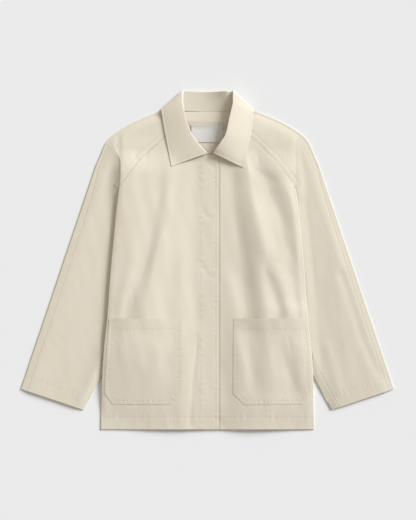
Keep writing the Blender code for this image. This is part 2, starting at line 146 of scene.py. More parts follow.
# Folded side of the body, hem to armpit
BODY_EDGE = (
    # y, x
    (-0.3735, 0.2350),
    (-0.2530, 0.2320),
    (-0.2030, 0.2290),
    (-0.1240, 0.2210),
    (-0.0420, 0.2150),
    (0.0460, 0.2070),
    (0.1120, 0.2006),
    (0.1600, 0.1945),
)

# Where the sleeve cap rolls over into the pleat above the armpit
CAP_FOLD = (
    # y, left x, right x
    (0.1600, 0.1945, 0.1935),
    (0.1975, 0.1912, 0.1915),
    (0.2250, 0.1866, 0.1935),
    (0.2450, 0.1860, 0.2046),
    (0.2700, 0.1860, 0.2120),
)
CAP_DROP_REACH = {LEFT: 0.028, RIGHT: 0.030}
CAP_PLEAT_TOP = {LEFT: 0.268, RIGHT: 0.275}
CAP_SHOULDER = {LEFT: 0.045, RIGHT: 0.024}

# Front neckline, from the underlap's edge to the raglan seam
FRONT_NECK = (
    # x, y
    (-0.0240, 0.2320),
    (0.0000, 0.2320),
    (0.0100, 0.2340),
    (0.0280, 0.2430),
    (0.0450, 0.2600),
    (0.0580, 0.2790),
    (0.0680, 0.2960),
)

# Sleeve below the armpit, cuff first: its outer fold, its inner fold, and the overarm seam's distance inside
SLEEVE_TUBE = (
    # outer x, y, inner x, y, overarm
    (0.4100, -0.2815, 0.2726, -0.3275, 0.013),
    (0.4040, -0.2650, 0.2640, -0.3120, 0.013),
    (0.3830, -0.2020, 0.2320, -0.2530, 0.013),
    (0.3610, -0.1370, 0.2030, -0.1900, 0.013),
    (0.3377, -0.0680, 0.1820, -0.1200, 0.013),
    (0.3124, 0.0077, 0.1700, -0.0400, 0.013),
    (0.2846, 0.0904, 0.1640, 0.0500, 0.012),
    (0.2664, 0.1446, 0.1630, 0.1100, 0.011),
    (0.2548, 0.1790, 0.1680, 0.1500, 0.009),
)

# Raglan cap above the armpit: its outer fold, front and back raglan seams, and the seams' distances inside
SLEEVE_CAP = (
    # outer x, y, front x, y, back x, y, overarm, underarm
    (0.2490, 0.1970, 0.1940, 0.1610, 0.1610, 0.1720, 0.007, 0.012),
    (0.2440, 0.2110, 0.1895, 0.1675, 0.1550, 0.1880, 0.006, 0.006),
    (0.2365, 0.2280, 0.1810, 0.1785, 0.1480, 0.2030, 0.005, 0.000),
    (0.2290, 0.2460, 0.1700, 0.1940, 0.1380, 0.2180, 0.005, 0.000),
    (0.2200, 0.2635, 0.1575, 0.2100, 0.1270, 0.2320, 0.005, 0.000),
    (0.2020, 0.2810, 0.1430, 0.2270, 0.1130, 0.2500, 0.005, 0.000),
    (0.1740, 0.2990, 0.1270, 0.2415, 0.0990, 0.2680, 0.005, 0.000),
    (0.1470, 0.3120, 0.1110, 0.2560, 0.0850, 0.2860, 0.005, 0.000),
    (0.1200, 0.3235, 0.0960, 0.2703, 0.0720, 0.3020, 0.005, 0.000),
    (0.1010, 0.3295, 0.0845, 0.2805, 0.0620, 0.3145, 0.005, 0.000),
    (0.0840, 0.3330, 0.0750, 0.2890, 0.0565, 0.3220, 0.005, 0.000),
    (0.0680, 0.3360, 0.0680, 0.2960, 0.0520, 0.3280, 0.004, 0.000),
)

# Collar sections: its seam at the neckline, the roll, and the outer edge. Heights are at mid cloth.
LEFT_LEAF = (
    # seam x, y, z, roll x, y, stand z, fall z, edge x, y, z
    (0.0145, 0.2385, 0.0074, 0.0125, 0.2365, 0.0122, 0.0156, 0.0788, 0.2047, 0.0082),
    (0.0305, 0.2475, 0.0076, 0.0210, 0.2485, 0.0170, 0.0204, 0.0840, 0.2260, 0.0084),
    (0.0440, 0.2625, 0.0079, 0.0310, 0.2630, 0.0194, 0.0228, 0.0890, 0.2470, 0.0086),
    (0.0560, 0.2805, 0.0080, 0.0405, 0.2800, 0.0202, 0.0234, 0.0950, 0.2710, 0.0088),
    (0.0660, 0.3060, 0.0079, 0.0477, 0.3130, 0.0200, 0.0234, 0.0985, 0.3000, 0.0089),
    (0.0663, 0.3230, 0.0076, 0.0545, 0.3430, 0.0192, 0.0226, 0.1005, 0.3220, 0.0086),
    (0.0664, 0.3315, 0.0072, 0.0552, 0.3600, 0.0182, 0.0216, 0.1014, 0.3290, 0.0078),
    (0.0662, 0.3380, 0.0066, 0.0555, 0.3712, 0.0172, 0.0202, 0.1015, 0.3330, 0.0068),
)
RIGHT_LEAF = (
    (0.0035, 0.2370, 0.0078, 0.0011, 0.2365, 0.0084, 0.0118, 0.0790, 0.2076, 0.0082),
    (0.0270, 0.2465, 0.0078, 0.0120, 0.2480, 0.0092, 0.0126, 0.0830, 0.2280, 0.0084),
    (0.0430, 0.2620, 0.0079, 0.0244, 0.2635, 0.0096, 0.0130, 0.0870, 0.2490, 0.0086),
    (0.0560, 0.2805, 0.0080, 0.0363, 0.2810, 0.0100, 0.0134, 0.0915, 0.2720, 0.0088),
    (0.0660, 0.3060, 0.0079, 0.0475, 0.3130, 0.0104, 0.0138, 0.0970, 0.3020, 0.0089),
    (0.0663, 0.3230, 0.0074, 0.0536, 0.3430, 0.0096, 0.0128, 0.1000, 0.3220, 0.0086),
    (0.0664, 0.3315, 0.0066, 0.0545, 0.3600, 0.0080, 0.0106, 0.1014, 0.3290, 0.0076),
    (0.0662, 0.3380, 0.0052, 0.0548, 0.3712, 0.0054, 0.0062, 0.1015, 0.3330, 0.0046),
)
LEFT_BACK = (
    (0.0640, 0.3365, 0.0060, 0.0530, 0.3718, 0.0148, 0.0132, 0.0985, 0.3312, 0.0026),
    (0.0510, 0.3300, 0.0046, 0.0380, 0.3718, 0.0150, 0.0116, 0.0700, 0.3180, 0.0011),
    (0.0250, 0.3283, 0.0035, 0.0190, 0.3707, 0.0100, 0.0066, 0.0330, 0.3110, 0.0011),
)
RIGHT_BACK = (
    (0.0640, 0.3365, 0.0044, 0.0530, 0.3718, 0.0055, 0.0021, 0.0975, 0.3310, 0.0016),
    (0.0510, 0.3300, 0.0033, 0.0380, 0.3718, 0.0057, 0.0023, 0.0700, 0.3180, 0.0011),
    (0.0250, 0.3283, 0.0030, 0.0190, 0.3707, 0.0056, 0.0022, 0.0330, 0.3110, 0.0011),
    (0.0000, 0.3280, 0.0030, 0.0000, 0.3700, 0.0068, 0.0034, 0.0000, 0.3100, 0.0011),
)
ROLL_RADIUS = 0.0018
ROLL_DEPTH = 0.0001
FALL_SWELL = 0.0009
FALL_SPACING = 1.5
BACK_FALL_EDGE_Y = 0.310
BACK_FALL_RISE = 0.023
COLLAR_HALF_WIDTH = 0.1015
LEAF_ROWS = 5.5

# Patch pockets, bottom first, with cut lower corners
POCKET = (
    # y, inner x, outer x
    (-0.3155, 0.0810, 0.2080),
    (-0.2917, 0.0565, 0.2260),
    (-0.2600, 0.0565, 0.2248),
    (-0.2250, 0.0568, 0.2225),
    (-0.1900, 0.0570, 0.2200),
    (-0.1550, 0.0573, 0.2175),
    (-0.1264, 0.0575, 0.2160),
)
POCKET_MOUTH_Y = -0.1264
POCKET_GAP = 0.0001

# Relief of the fronts in millimetres, outwards from the placket. Each pair of columns is the place and height
# of one line of crests or troughs, and the cloth runs smoothly between neighbouring lines.
RELIEF_START = 24.4
LEFT_RELIEF = (
    # y, swell x, h, deep fold's foot x, h, its crest, its flank, lower branch's crest, trough,
    # raglan fold's crest, side
    (-372, 80, 3.0, 96, 3.3, 113, 3.4, 160, 1.2, 195, -0.4, 210, -0.8, 219, -1.0, 228, -1.2),
    (-317, 82, 3.6, 108, 4.0, 129, 4.2, 165, 2.2, 195, 0.8, 210, 0.4, 218, 0.2, 226, 0.0),
    (-291, 83, 4.0, 100, 3.8, 138, 4.8, 168, 2.2, 193, 0.4, 208, 0.8, 216, 0.9, 224, 0.7),
    (-262, 80, 4.2, 98, 3.5, 140, 6.0, 165, 3.8, 186, 1.9, 206, 3.1, 214, 2.8, 222, 2.3),
    (-229, 78, 4.3, 94, 3.5, 136, 6.4, 158, 4.6, 177, 3.2, 201, 4.4, 212, 3.9, 220, 3.1),
    (-196, 72, 3.6, 91, 2.9, 133, 6.6, 148, 5.8, 168, 4.6, 195, 5.2, 209, 4.4, 219, 3.2),
    (-163, 63, 2.8, 89, 2.1, 130, 6.6, 146, 6.6, 166, 6.0, 188, 5.2, 205, 4.0, 218, 2.4),
    (-127, 61, 2.2, 84, 0.7, 130, 7.6, 157, 4.9, 177, 7.2, 202, 4.5, 209, 4.2, 215, 3.6),
    (-113, 61, 2.1, 84, 0.6, 130, 7.6, 157, 4.9, 177, 7.2, 202, 4.5, 209, 4.2, 215, 3.6),
    (-86, 56, 1.4, 81, -0.4, 125, 6.4, 151, 3.6, 170, 5.4, 196, 2.4, 206, 2.0, 213, 1.4),
    (-53, 47, 0.7, 77, -1.2, 120, 5.8, 141, 3.9, 160, 5.1, 192, 1.6, 202, 1.3, 211, 0.8),
    (-20, 40, 0.0, 71, -1.1, 119, 6.4, 131, 5.8, 147, 6.2, 186, 1.8, 199, 2.0, 208, 1.6),
    (13, 38, 0.1, 67, -0.5, 126, 7.9, 136, 7.2, 160, 4.0, 182, 2.0, 199, 3.2, 206, 2.8),
    (46, 38, 0.0, 64, -0.3, 118, 7.8, 136, 6.0, 154, 3.2, 170, 2.0, 197, 3.9, 203, 3.5),
    (79, 38, -0.1, 60, -0.2, 110, 7.0, 130, 4.8, 148, 2.4, 164, 1.0, 193, 3.9, 201, 3.4),
    (107, 38, -0.2, 57, -0.4, 103, 6.1, 122, 3.6, 140, 1.0, 155, -0.2, 189, 3.7, 198, 3.0),
    (134, 38, -0.3, 55, -0.6, 98, 5.0, 114, 2.8, 130, 0.4, 144, -0.8, 182, 3.0, 195, 1.6),
    (156, 38, -0.4, 54, -0.8, 94, 4.0, 108, 2.4, 122, 0.6, 136, -0.6, 173, 3.0, 193, 0.8),
    (178, 38, -0.4, 54, -0.8, 90, 3.6, 104, 2.2, 116, 0.8, 131, -0.4, 164, 2.8, 194, -0.4),
    (200, 38, -0.1, 52, -0.2, 88, 3.6, 98, 2.0, 104, 1.2, 112, 0.8, 155, 3.2, 192, 0.2),
    (245, 38, 0.0, 50, 0.0, 80, 0.3, 90, 0.1, 100, 0.0, 115, 0.0, 135, 0.3, 190, 0.0),
)
RIGHT_RELIEF = (
    # y, streak's crest x, h, its trough, long fold's crest, its trough, swell towards the side, side
    (-372, 62, 2.4, 85, 2.4, 115, 1.8, 145, 0.8, 180, -0.2, 225, -1.0),
    (-339, 62, 2.4, 85, 2.4, 115, 2.0, 145, 1.1, 180, 0.2, 225, -0.8),
    (-291, 62, 2.3, 80, 2.0, 115, 1.8, 145, 1.1, 180, 0.4, 222, -0.2),
    (-262, 60, 2.3, 80, 2.0, 115, 2.3, 145, 1.7, 180, 1.0, 221, 0.2),
    (-229, 57, 2.4, 84, 1.9, 115, 3.2, 138, 3.3, 180, 2.2, 219, 0.8),
    (-196, 58, 2.4, 80, 2.6, 115, 4.4, 150, 4.2, 185, 3.2, 217, 1.4),
    (-163, 60, 2.6, 80, 2.9, 125, 4.6, 150, 4.6, 180, 4.0, 215, 1.6),
    (-127, 60, 2.8, 79, 2.4, 135, 6.1, 178, 1.4, 192, 2.4, 212, 1.4),
    (-113, 60, 2.8, 79, 2.4, 135, 6.1, 177, 1.4, 191, 2.4, 211, 1.4),
    (-86, 63, 2.8, 77, 2.5, 134, 5.9, 170, 1.8, 187, 2.9, 209, 1.8),
    (-53, 62, 2.5, 80, 2.5, 126, 5.4, 155, 1.9, 179, 3.2, 207, 1.8),
    (-20, 60, 2.3, 80, 2.8, 118, 5.0, 142, 1.4, 172, 2.8, 206, 1.4),
    (13, 57, 2.1, 78, 3.0, 112, 4.9, 133, 1.5, 163, 3.0, 204, 1.6),
    (46, 56, 1.9, 76, 2.9, 103, 4.8, 127, 1.6, 160, 2.9, 203, 1.8),
    (79, 55, 1.6, 74, 2.7, 94, 4.2, 120, 1.7, 164, 2.6, 200, 1.6),
    (107, 54, 1.5, 72, 2.5, 91, 3.9, 116, 1.7, 170, 2.9, 197, 2.2),
    (134, 53, 1.4, 70, 2.3, 89, 3.6, 109, 1.8, 178, 3.2, 194, 3.0),
    (156, 52, 1.2, 68, 2.0, 85, 3.1, 107, 1.7, 175, 3.8, 192, 3.7),
    (178, 52, 1.2, 66, 2.0, 84, 3.1, 106, 1.9, 170, 3.8, 190, 3.8),
    (200, 52, 1.2, 66, 2.0, 85, 2.9, 105, 2.0, 160, 3.4, 188, 3.2),
    (245, 50, 0.6, 70, 0.8, 85, 1.0, 107, 0.8, 165, 1.5, 190, 1.5),
)
# The pockets' mouths, which span the fronts' troughs
LEFT_MOUTH = (-127, 61, 2.4, 84, 4.4, 130, 8.0, 152, 8.1, 176, 7.7, 193, 6.4, 206, 4.8, 216, 3.6)
RIGHT_MOUTH = (-127, 60, 2.8, 80, 3.6, 134, 6.5, 160, 5.9, 190, 4.4, 214, 1.8)
MOUTH_REACH = -150

# Smaller creases of the fronts, pockets and placket
PLACKET_PULL = ((-0.023, -0.165), (-0.025, -0.207), (-0.032, -0.262), (-0.036, -0.330), (-0.039, -0.360))
BODY_CREASES = (
    # height, half width, path of x, y
    (-0.0004, 0.010, ((-0.197, -0.064), (-0.179, -0.003))),
    (-0.0003, 0.004, ((-0.166, -0.060), (-0.160, -0.090))),
    (-0.0004, 0.006, ((0.106, 0.250), (0.112, 0.215))),
    (-0.0005, 0.005, ((-0.123, 0.262), (-0.137, 0.222))),
    (-0.0005, 0.005, ((-0.146, 0.272), (-0.158, 0.226))),
    (0.0005, 0.012, ((-0.172, 0.252), (-0.178, 0.212))),
    (-0.0005, 0.0045, PLACKET_PULL),
    (-0.0003, 0.004, ((0.178, -0.172), (0.184, -0.200))),
    (-0.0003, 0.005, ((-0.0123, 0.2274), (0.0136, 0.2063))),
    (-0.0004, 0.006, ((-0.012, 0.118), (-0.002, 0.098), (0.006, 0.094))),
    (-0.0004, 0.006, ((-0.012, -0.010), (0.000, -0.032), (0.010, -0.036))),
    (-0.0004, 0.006, ((0.024, -0.350), (0.040, -0.368))),
    (-0.0014, 0.060, ((-0.250, -0.380), (-0.200, -0.340))),
    (0.0012, 0.028, ((-0.030, -0.170), (-0.030, -0.380))),
)

# Creases of the sleeves
ELBOW = ((0.296, -0.031), (0.3146, -0.086), (0.329, -0.130))
FOREARM = ((0.342, -0.174), (0.362, -0.218), (0.379, -0.251))
SLEEVE_CREASES = (
    # height, half width, path of x, y
    (0.0016, 0.016, ((-0.270, -0.300), (-0.246, -0.250), (-0.232, -0.200))),
    (-0.0004, 0.005, ((-0.330, -0.086), (-0.318, -0.080))),
    (-0.00015, 0.005, ((-0.350, -0.150), (-0.320, -0.175))),
    (-0.00015, 0.005, ((-0.345, -0.180), (-0.330, -0.196))),
    (-0.0004, 0.006, ((-0.292, 0.004), (-0.284, 0.020))),
    (-0.0005, 0.006, ((-0.1985, 0.277), (-0.1916, 0.244))),
    (-0.0011, 0.011, ELBOW + FOREARM),
    (0.0008, 0.012, ((0.262, -0.190), (0.277, -0.240), (0.288, -0.290))),
    (-0.0004, 0.014, ((0.252, -0.060), (0.262, -0.140))),
)

# Stitching
STITCH_LENGTH = 0.0024
STITCH_PITCH = 0.0032
THREAD_RADIUS = 0.00024
BODY_HEM = 0.026
CUFF_HEM = 0.028
POCKET_HEM = 0.0253
TWIN_ROWS = (0.0018, 0.0115)
POCKET_ROWS = (0.0018, 0.0075)
COLLAR_ROW = 0.006
SEAM_GROOVE = 0.00022
SEAM_GROOVE_REACH = 0.0013
# Seams tint the cloth by their relief: painted shade darkens the grooves and pucker troughs, and pale wear
# lightens the pucker crests
SEAM_WEAR_AND_SHADE = 900
COLLAR_PUCKER = (0.00018, 0.0045, 0.009)

# Colours, linear
CANVAS_LIGHT = (0.752, 0.688, 0.568, 1.0)
CANVAS_DARK = (0.691, 0.624, 0.499, 1.0)
TAPE_LIGHT = (0.712, 0.690, 0.665, 1.0)
TAPE_DARK = (0.668, 0.642, 0.612, 1.0)
# Painted shade: the cloth darkens towards the hem and towards the wearer's left, where the light falls off
PAINTED_SHADE_GRADIENT = (-0.060, 0.110, 0.0)
THREAD_COLOUR = (0.700, 0.625, 0.500, 1.0)
FLOOR_COLOUR = (0.830, 0.830, 0.830, 1.0)

# Light and camera
TOWARDS_KEY = (2.2, 1.8, 1.2)
KEY_STRENGTH = 4.89
KEY_SPREAD = 25
KEY_COLOUR = (0.904, 0.941, 1.0)
STUDIO_STRENGTH = 0.449
STUDIO_COLOUR = (1.0, 0.95, 0.87, 1.0)


def smooth(share):
    share = np.clip(share, 0.0, 1.0)
    return share * share * (3 - 2 * share)


def starting(y, place):
    """A share that grows from 0 to 1 up the jacket, past a place."""
    return smooth((y - place[0]) / place[1])


def ending(y, place):
    """A share that falls from 1 to 0 up the jacket, up to a place."""
    return smooth((place[0] - y) / place[1])


def unit(vector):
    return vector / max(np.linalg.norm(vector), 1e-9)


def read(table, key, column=1):
    """A column of a table at keys, along a smooth curve through its rows."""
    keys = np.array([row[0] for row in table])
    values = np.array([row[column] for row in table])
    slopes = np.gradient(values, keys)
    i = np.clip(np.searchsorted(keys, key, side="right") - 1, 0, len(keys) - 2)
    span = keys[i + 1] - keys[i]
    t = np.clip((key - keys[i]) / span, 0.0, 1.0)
    rise = values[i + 1] - values[i]
    start, end = slopes[i] * span, slopes[i + 1] * span
    return values[i] + t * (start + t * (3 * rise - 2 * start - end + t * (start + end - 2 * rise)))


def between(rows, place):
    """The rows at fractional places in a table, along a smooth curve through its rows."""
    rows, place = np.array(rows), np.asarray(place, float)
    last = len(rows) - 1
    i = np.clip(place.astype(int), 0, last - 1)
    t = (place - i)[..., None]
    before, start, end, after = (rows[np.clip(i + k, 0, last)] for k in (-1, 0, 1, 2))
    bend = 2 * before - 5 * start + 4 * end - after
    twist = 3 * start - before - 3 * end + after
    return start + 0.5 * t * (end - before + t * (bend + t * twist))


def nearest(path, x, y):
    """How far points lie from a path, and how far along it their nearest place is."""
    gap, along, start = np.full(np.shape(x), 1.0), np.zeros(np.shape(x)), 0.0
    for (x0, y0), (x1, y1) in zip(path, path[1:]):
        run_x, run_y = x1 - x0, y1 - y0
        length = hypot(run_x, run_y)
        share = np.clip(((x - x0) * run_x + (y - y0) * run_y) / length**2, 0, 1)
        apart = np.hypot(x - x0 - share * run_x, y - y0 - share * run_y)
        closer = apart < gap
        gap = np.where(closer, apart, gap)
        along = np.where(closer, start + share * length, along)
        start += length
    return gap, along


def moved_in(path, distance):
    """A path moved to its left by a distance, with mitred corners."""
    points = np.array(path, float)
    runs = np.diff(points, axis=0)
    runs /= np.linalg.norm(runs, axis=1)[:, None]
    before, after = np.vstack([runs[:1], runs]), np.vstack([runs, runs[-1:]])
    middle = before + after
    middle /= np.linalg.norm(middle, axis=1)[:, None]
    stretch = 1 / np.maximum((middle * after).sum(axis=1), 0.3)
    normals = np.column_stack([-middle[:, 1], middle[:, 0]])
    return [tuple(point) for point in points + normals * (distance * stretch)[:, None]]


def creased(creases, x, y):
    """The height of soft troughs and ridges at points, each fading out past its ends."""
    height = np.zeros(np.shape(x))
    for depth, width, path in creases:
        gap, _ = nearest(path, x, y)
        height = height + depth * np.exp(-((gap / width) ** 2))
    return height


def uneven(along, pitch, seed):
    """Puckers along a seam, about a pitch apart, with uneven spacing and strength."""
    phase = 2 * pi * along / pitch + seed
    wandering = phase + 1.3 * np.sin(0.31 * phase + seed) + 0.7 * np.sin(0.13 * phase + 2 * seed)
    strength = 0.55 + 0.45 * np.sin(0.17 * phase + 3 * seed)
    return np.sin(wandering) * strength


def wave_table(seed, count, shortest, longest, tilt):
    rng = np.random.default_rng(seed)
    lengths = rng.uniform(shortest, longest, count)
    angles = rng.uniform(-tilt, tilt, count)
    phases = rng.uniform(0, 2 * pi, count)
    return list(zip(lengths, angles, phases))


SOFT_WAVES = wave_table(11, 9, 0.030, 0.090, 0.6)
SMALL_WAVES = wave_table(23, 12, 0.010, 0.026, 1.5)


def rumpled(x, y, sizes):
    """Slight unevenness of cloth that was worn and washed, mostly along its length."""
    height = np.zeros(np.shape(x))
    for waves, size in zip((SOFT_WAVES, SMALL_WAVES), sizes):
        for length, angle, phase in waves:
            across = x * np.cos(angle) + y * np.sin(angle)
            height = height + size * np.sin(2 * pi * across / length + phase) / len(waves) ** 0.5
    return height


# The jacket's main curves


def sleeve_stations():
    """Rows of outer fold, front seam, back edge, overarm and underarm distances, cuff to neckline."""
    rows = []
    for outer_x, outer_y, inner_x, inner_y, overarm in SLEEVE_TUBE:
        share = UNDERARM_TURN / hypot(outer_x - inner_x, outer_y - inner_y)
        seam_x = inner_x + (outer_x - inner_x) * share
        seam_y = inner_y + (outer_y - inner_y) * share
        rows.append((outer_x, outer_y, seam_x, seam_y, inner_x, inner_y, overarm, UNDERARM_TURN))
    return rows + list(SLEEVE_CAP)


# Columns of a station: the first of each point's two, and the seams' distances
OUTER, SEAM, INNER, OVERARM, UNDERARM = 0, 2, 4, 6, 7
STATIONS = sleeve_stations()
TUBE_END = len(SLEEVE_TUBE) - 1
CAP_END = len(STATIONS) - 1
INNER_EDGE = tuple((row[5], row[4]) for row in STATIONS)
FRONT_RAGLAN = tuple((row[2], row[3]) for row in reversed(SLEEVE_CAP))
BACK_RAGLAN = (
    # x, y
    (0.0520, 0.3280),
    (0.0620, 0.3145),
    (0.0850, 0.2860),
    (0.1130, 0.2500),
    (0.1380, 0.2180),
    (0.1500, 0.2000),
    (0.1680, 0.1770),
    (0.1842, 0.1580),
)


def width(stations, one, other):
    """How far apart two points of each station lie."""
    return np.hypot(stations[:, one] - stations[:, other], stations[:, one + 1] - stations[:, other + 1])


def towards(stations, start, end, distance):
    """The points at a distance from one point of each station towards another."""
    share = distance / width(stations, start, end)
    run_x = stations[:, end] - stations[:, start]
    run_y = stations[:, end + 1] - stations[:, start + 1]
    return stations[:, start] + run_x * share, stations[:, start + 1] + run_y * share


def body_edge(y):
    return read(BODY_EDGE, y)


def fold_edge(y, side):
    """The fold that lies over the sleeve: the body's side, and above the armpit the roll of the cap."""
    return np.where(y < ARMPIT_Y, body_edge(y), read(CAP_FOLD, y, 1 if side == LEFT else 2))


def over_sleeve(y):
    """How far the body's side is lifted by the sleeve under it: not at all near the hem."""
    return OVER_SLEEVE * starting(y, OVER_SLEEVE_START)


def over_collar(x, y):
    """How far the back of the neck is lifted by the collar turned down behind it."""
    fall_edge = BACK_FALL_EDGE_Y + BACK_FALL_RISE * (np.abs(x) / COLLAR_HALF_WIDTH) ** 3
    return OVER_COLLAR * smooth((y - fall_edge + 0.022) / 0.020) * smooth((0.125 - np.abs(x)) / 0.020)


def foot_to_crest(share, sharpness):
    """The rise from a fold's foot to its crest, which starts at once at a sharp foot."""
    share = np.clip(share, 0.0, 1.0)
    return (1 - sharpness) * smooth(share) + sharpness * (1 - (1 - share) ** 2)


def between_lines(lines, x, y):
    """The height at points between lines of crests and troughs, level where it turns."""
    columns = [read(lines, y, column) for column in range(1, len(lines[0]))]
    places = [np.full(np.shape(x), RELIEF_START)] + columns[0::2]
    tops = [np.zeros(np.shape(x))] + columns[1::2]
    climbs = [
        (high - low) / np.maximum(after - before, 1)
        for before, after, low, high in zip(places, places[1:], tops, tops[1:])
    ]
    slopes = [0 * x]
    for one, other in zip(climbs, climbs[1:]):
        both = one * other
        slopes.append(np.where(both > 0, 2 * both / np.where(both > 0, one + other, 1), 0))
    slopes.append(0 * x)
    height = tops[0]
    for k, climb in enumerate(climbs):
        span = np.maximum(places[k + 1] - places[k], 1)
        t = np.clip((x - places[k]) / span, 0, 1)
        start, end, rise = slopes[k] * span, slopes[k + 1] * span, climb * span
        curve = tops[k] + t * (start + t * (3 * rise - 2 * start - end + t * (start + end - 2 * rise)))
        height = np.where(x > places[k], curve, height)
    return height


def spanning(relief, mouth):
    """A front's relief as its pocket follows it, straight across at the mouth."""
    return tuple(row for row in relief if row[0] < MOUTH_REACH) + (mouth,)


LEFT_POCKET_RELIEF = spanning(LEFT_RELIEF, LEFT_MOUTH)
RIGHT_POCKET_RELIEF = spanning(RIGHT_RELIEF, RIGHT_MOUTH)


def folded(x, y, left=LEFT_RELIEF, right=RIGHT_RELIEF):
    """The height of the fronts' folds."""
    size = np.abs(x) * 1000
    height = np.where(x > 0, between_lines(left, size, y * 1000), between_lines(right, size, y * 1000))
    return height / 1000 * ending(y, FOLDS_END)


def resting_on(floor, height):
    """A height that never sinks into what lies below it, and meets it softly."""
    soft = 0.0006
    return floor + soft * np.logaddexp(0, (height - floor) / soft)


def front_height(x, y):
    """The face of the top layer, shared by the fronts, placket, pockets and sleeve caps."""
    neck = NECK_RISE * np.exp(-((x / NECK_SPREAD[0]) ** 2) - ((y - NECK_CENTRE_Y) / NECK_SPREAD[1]) ** 2)
    size = np.abs(x)
    rise = np.where(x > 0, SIDE_RISE[LEFT], SIDE_RISE[RIGHT])
    side = rise * smooth(size / 0.190) * ending(y, SIDE_RISE_END) * starting(y, SIDE_RISE_START)
    hem = HEM_DROP * smooth((HEM_Y + HEM_DROP_REACH - y) / HEM_DROP_REACH)
    reach = np.where(x > 0, SIDE_ROLL_REACH[LEFT], SIDE_ROLL_REACH[RIGHT])
    roll = SIDE_ROLL * np.clip(1 - (body_edge(np.minimum(y, ARMPIT_Y)) - size) / reach, 0, 1) ** 2
    loose = (creased(BODY_CREASES, x, y) + rumpled(x, y, BODY_RUMPLE)) * ending(y, CREASES_END)
    height = BODY_LOFT + neck + side + folded(x, y) + loose - hem - roll
    return resting_on(back_height(x, y) + 2 * WALL + LEAST_AIR, height)


def back_height(x, y):
    """The outer face of the back, which lies on the surface, the sleeves and the collar."""
    start = read(INNER_EDGE, y) - 0.020
    side = smooth((np.abs(x) - start) / 0.018) * ending(y, OVER_SLEEVE_END)
    return over_collar(x, y) + over_sleeve(y) * side


def emerging(past_fold, y):
    """0 where the body lies on the sleeve and 1 outside, close round the body's fold between them."""
    above = smooth((y - ARMPIT_Y) / ARMPIT_STEP)
    hugging = 1 - (1 - np.clip(1 + (past_fold - HUG_GAP) / UNDERCUT, 0, 1) ** 2) ** 0.5
    return above + (1 - above) * hugging


def tube_height(x, y, outward, inward, side):
    """The sleeve's upper face, low at its folds and where the body lies on it."""
    past_fold = x - fold_edge(y, side)
    loose = creased(SLEEVE_CREASES, side * x, y) + rumpled(side * x + 0.31, y, SLEEVE_RUMPLE)
    if side == LEFT:
        swell = 0.0028 - 0.0015 * smooth(past_fold / 0.022) + 0.024 * np.clip(past_fold - 0.018, 0, 0.055)
        loft = foot_to_crest(outward / 0.028, 0.2) * foot_to_crest(inward / 0.020, 0.5)
    else:
        swell = SLEEVE_SWELL
        loft = foot_to_crest(outward / 0.026, 0.5) * foot_to_crest(inward / 0.022, 0.4)
    loft = loft * emerging(past_fold, y)
    return over_collar(x, y) + SLEEVE_EDGE + (swell + loose) * loft


def sleeve_height(x, y, outward, inward, side):
    """The sleeve's upper face, which rises to the fronts' on the cap inside the pleat."""
    tube = tube_height(x, y, outward, inward, side)
    past_fold = x - fold_edge(y, side)
    drop = np.clip((past_fold + 0.001) / CAP_DROP_REACH[side], 0, 1)
    drop = smooth(drop) if side == LEFT else 1 - (1 - drop) ** 2.2
    pleat = smooth((CAP_PLEAT_TOP[side] - y) / 0.032) * drop
    below = smooth((y - ARMPIT_Y + ARMPIT_BLEND) / (ARMPIT_BLEND + 0.004)) * emerging(past_fold, y)
    cap = smooth(outward / CAP_SHOULDER[side]) * (1 - pleat) * below
    return tube + (front_height(side * x, y) - tube) * cap


# Seams: rows of stitching, and how they press and pucker the cloth


def pressed(rows, x, y, side=LEFT):
    """How far the stitching lowers and puckers the cloth at points of the half jacket."""
    height = np.zeros(np.shape(x))
    for number, (path, pucker, reach, pitch) in enumerate(rows):
        gap, along = nearest(path, x, y)
        groove = SEAM_GROOVE * np.exp(-((gap / SEAM_GROOVE_REACH) ** 2))
        ripple = 0.5 * pucker * uneven(along, pitch, number + 1.7 + side) * np.exp(-((gap / reach) ** 2))
        height = height - groove + ripple
    return height


def overarm_path():
    rows = between(STATIONS, np.linspace(0, CAP_END, 60))
    return list(zip(*towards(rows, OUTER, SEAM, rows[:, OVERARM])))


def underarm_path():
    rows = between(STATIONS, np.linspace(0, TUBE_END, 40))
    return [(row[SEAM], row[SEAM + 1]) for row in rows]


def cuff_path():
    """The cuff's row of stitching, parallel to its edge: its outer and its inner end."""
    ends = []
    for first in (0, 2):
        edge, above = (np.array(SLEEVE_TUBE[row][first : first + 2]) for row in (0, 2))
        ends.append(tuple(edge + unit(above - edge) * CUFF_HEM))
    return ends


RAGLAN_ROWS = [moved_in(FRONT_RAGLAN, distance) for distance in TWIN_ROWS]
OVERARM_PATH = overarm_path()
UNDERARM_PATH = underarm_path()
CUFF_PATH = cuff_path()
HEM_PATH = [(-0.240, HEM_Y + BODY_HEM), (0.240, HEM_Y + BODY_HEM)]
PLACKET_ROWS = (
    [(PLACKET_EDGE_X - 0.0072, HEM_Y), (PLACKET_EDGE_X - 0.0072, PLACKET_TOP_Y)],
    [(PLACKET_INNER_X + 0.0016, HEM_Y), (PLACKET_INNER_X + 0.0016, PLACKET_TOP_Y)],
)


def pocket_outline():
    """The pocket's sewn edge, from its mouth's inner corner down and round to its outer one."""
    inner = [(row[1], row[0]) for row in reversed(POCKET)]
    outer = [(row[2], row[0]) for row in POCKET]
    return inner + outer


POCKET_OUTLINE = pocket_outline()
POCKET_STITCHING = [moved_in(POCKET_OUTLINE, distance) for distance in POCKET_ROWS]
POCKET_HEM_Y = POCKET_MOUTH_Y - POCKET_HEM
POCKET_HEM_PATH = [(0.0590, POCKET_HEM_Y), (0.2170, POCKET_HEM_Y)]
POCKET_BAR = [(0.0590, POCKET_MOUTH_Y - 0.0015), (0.0650, POCKET_HEM_Y)]

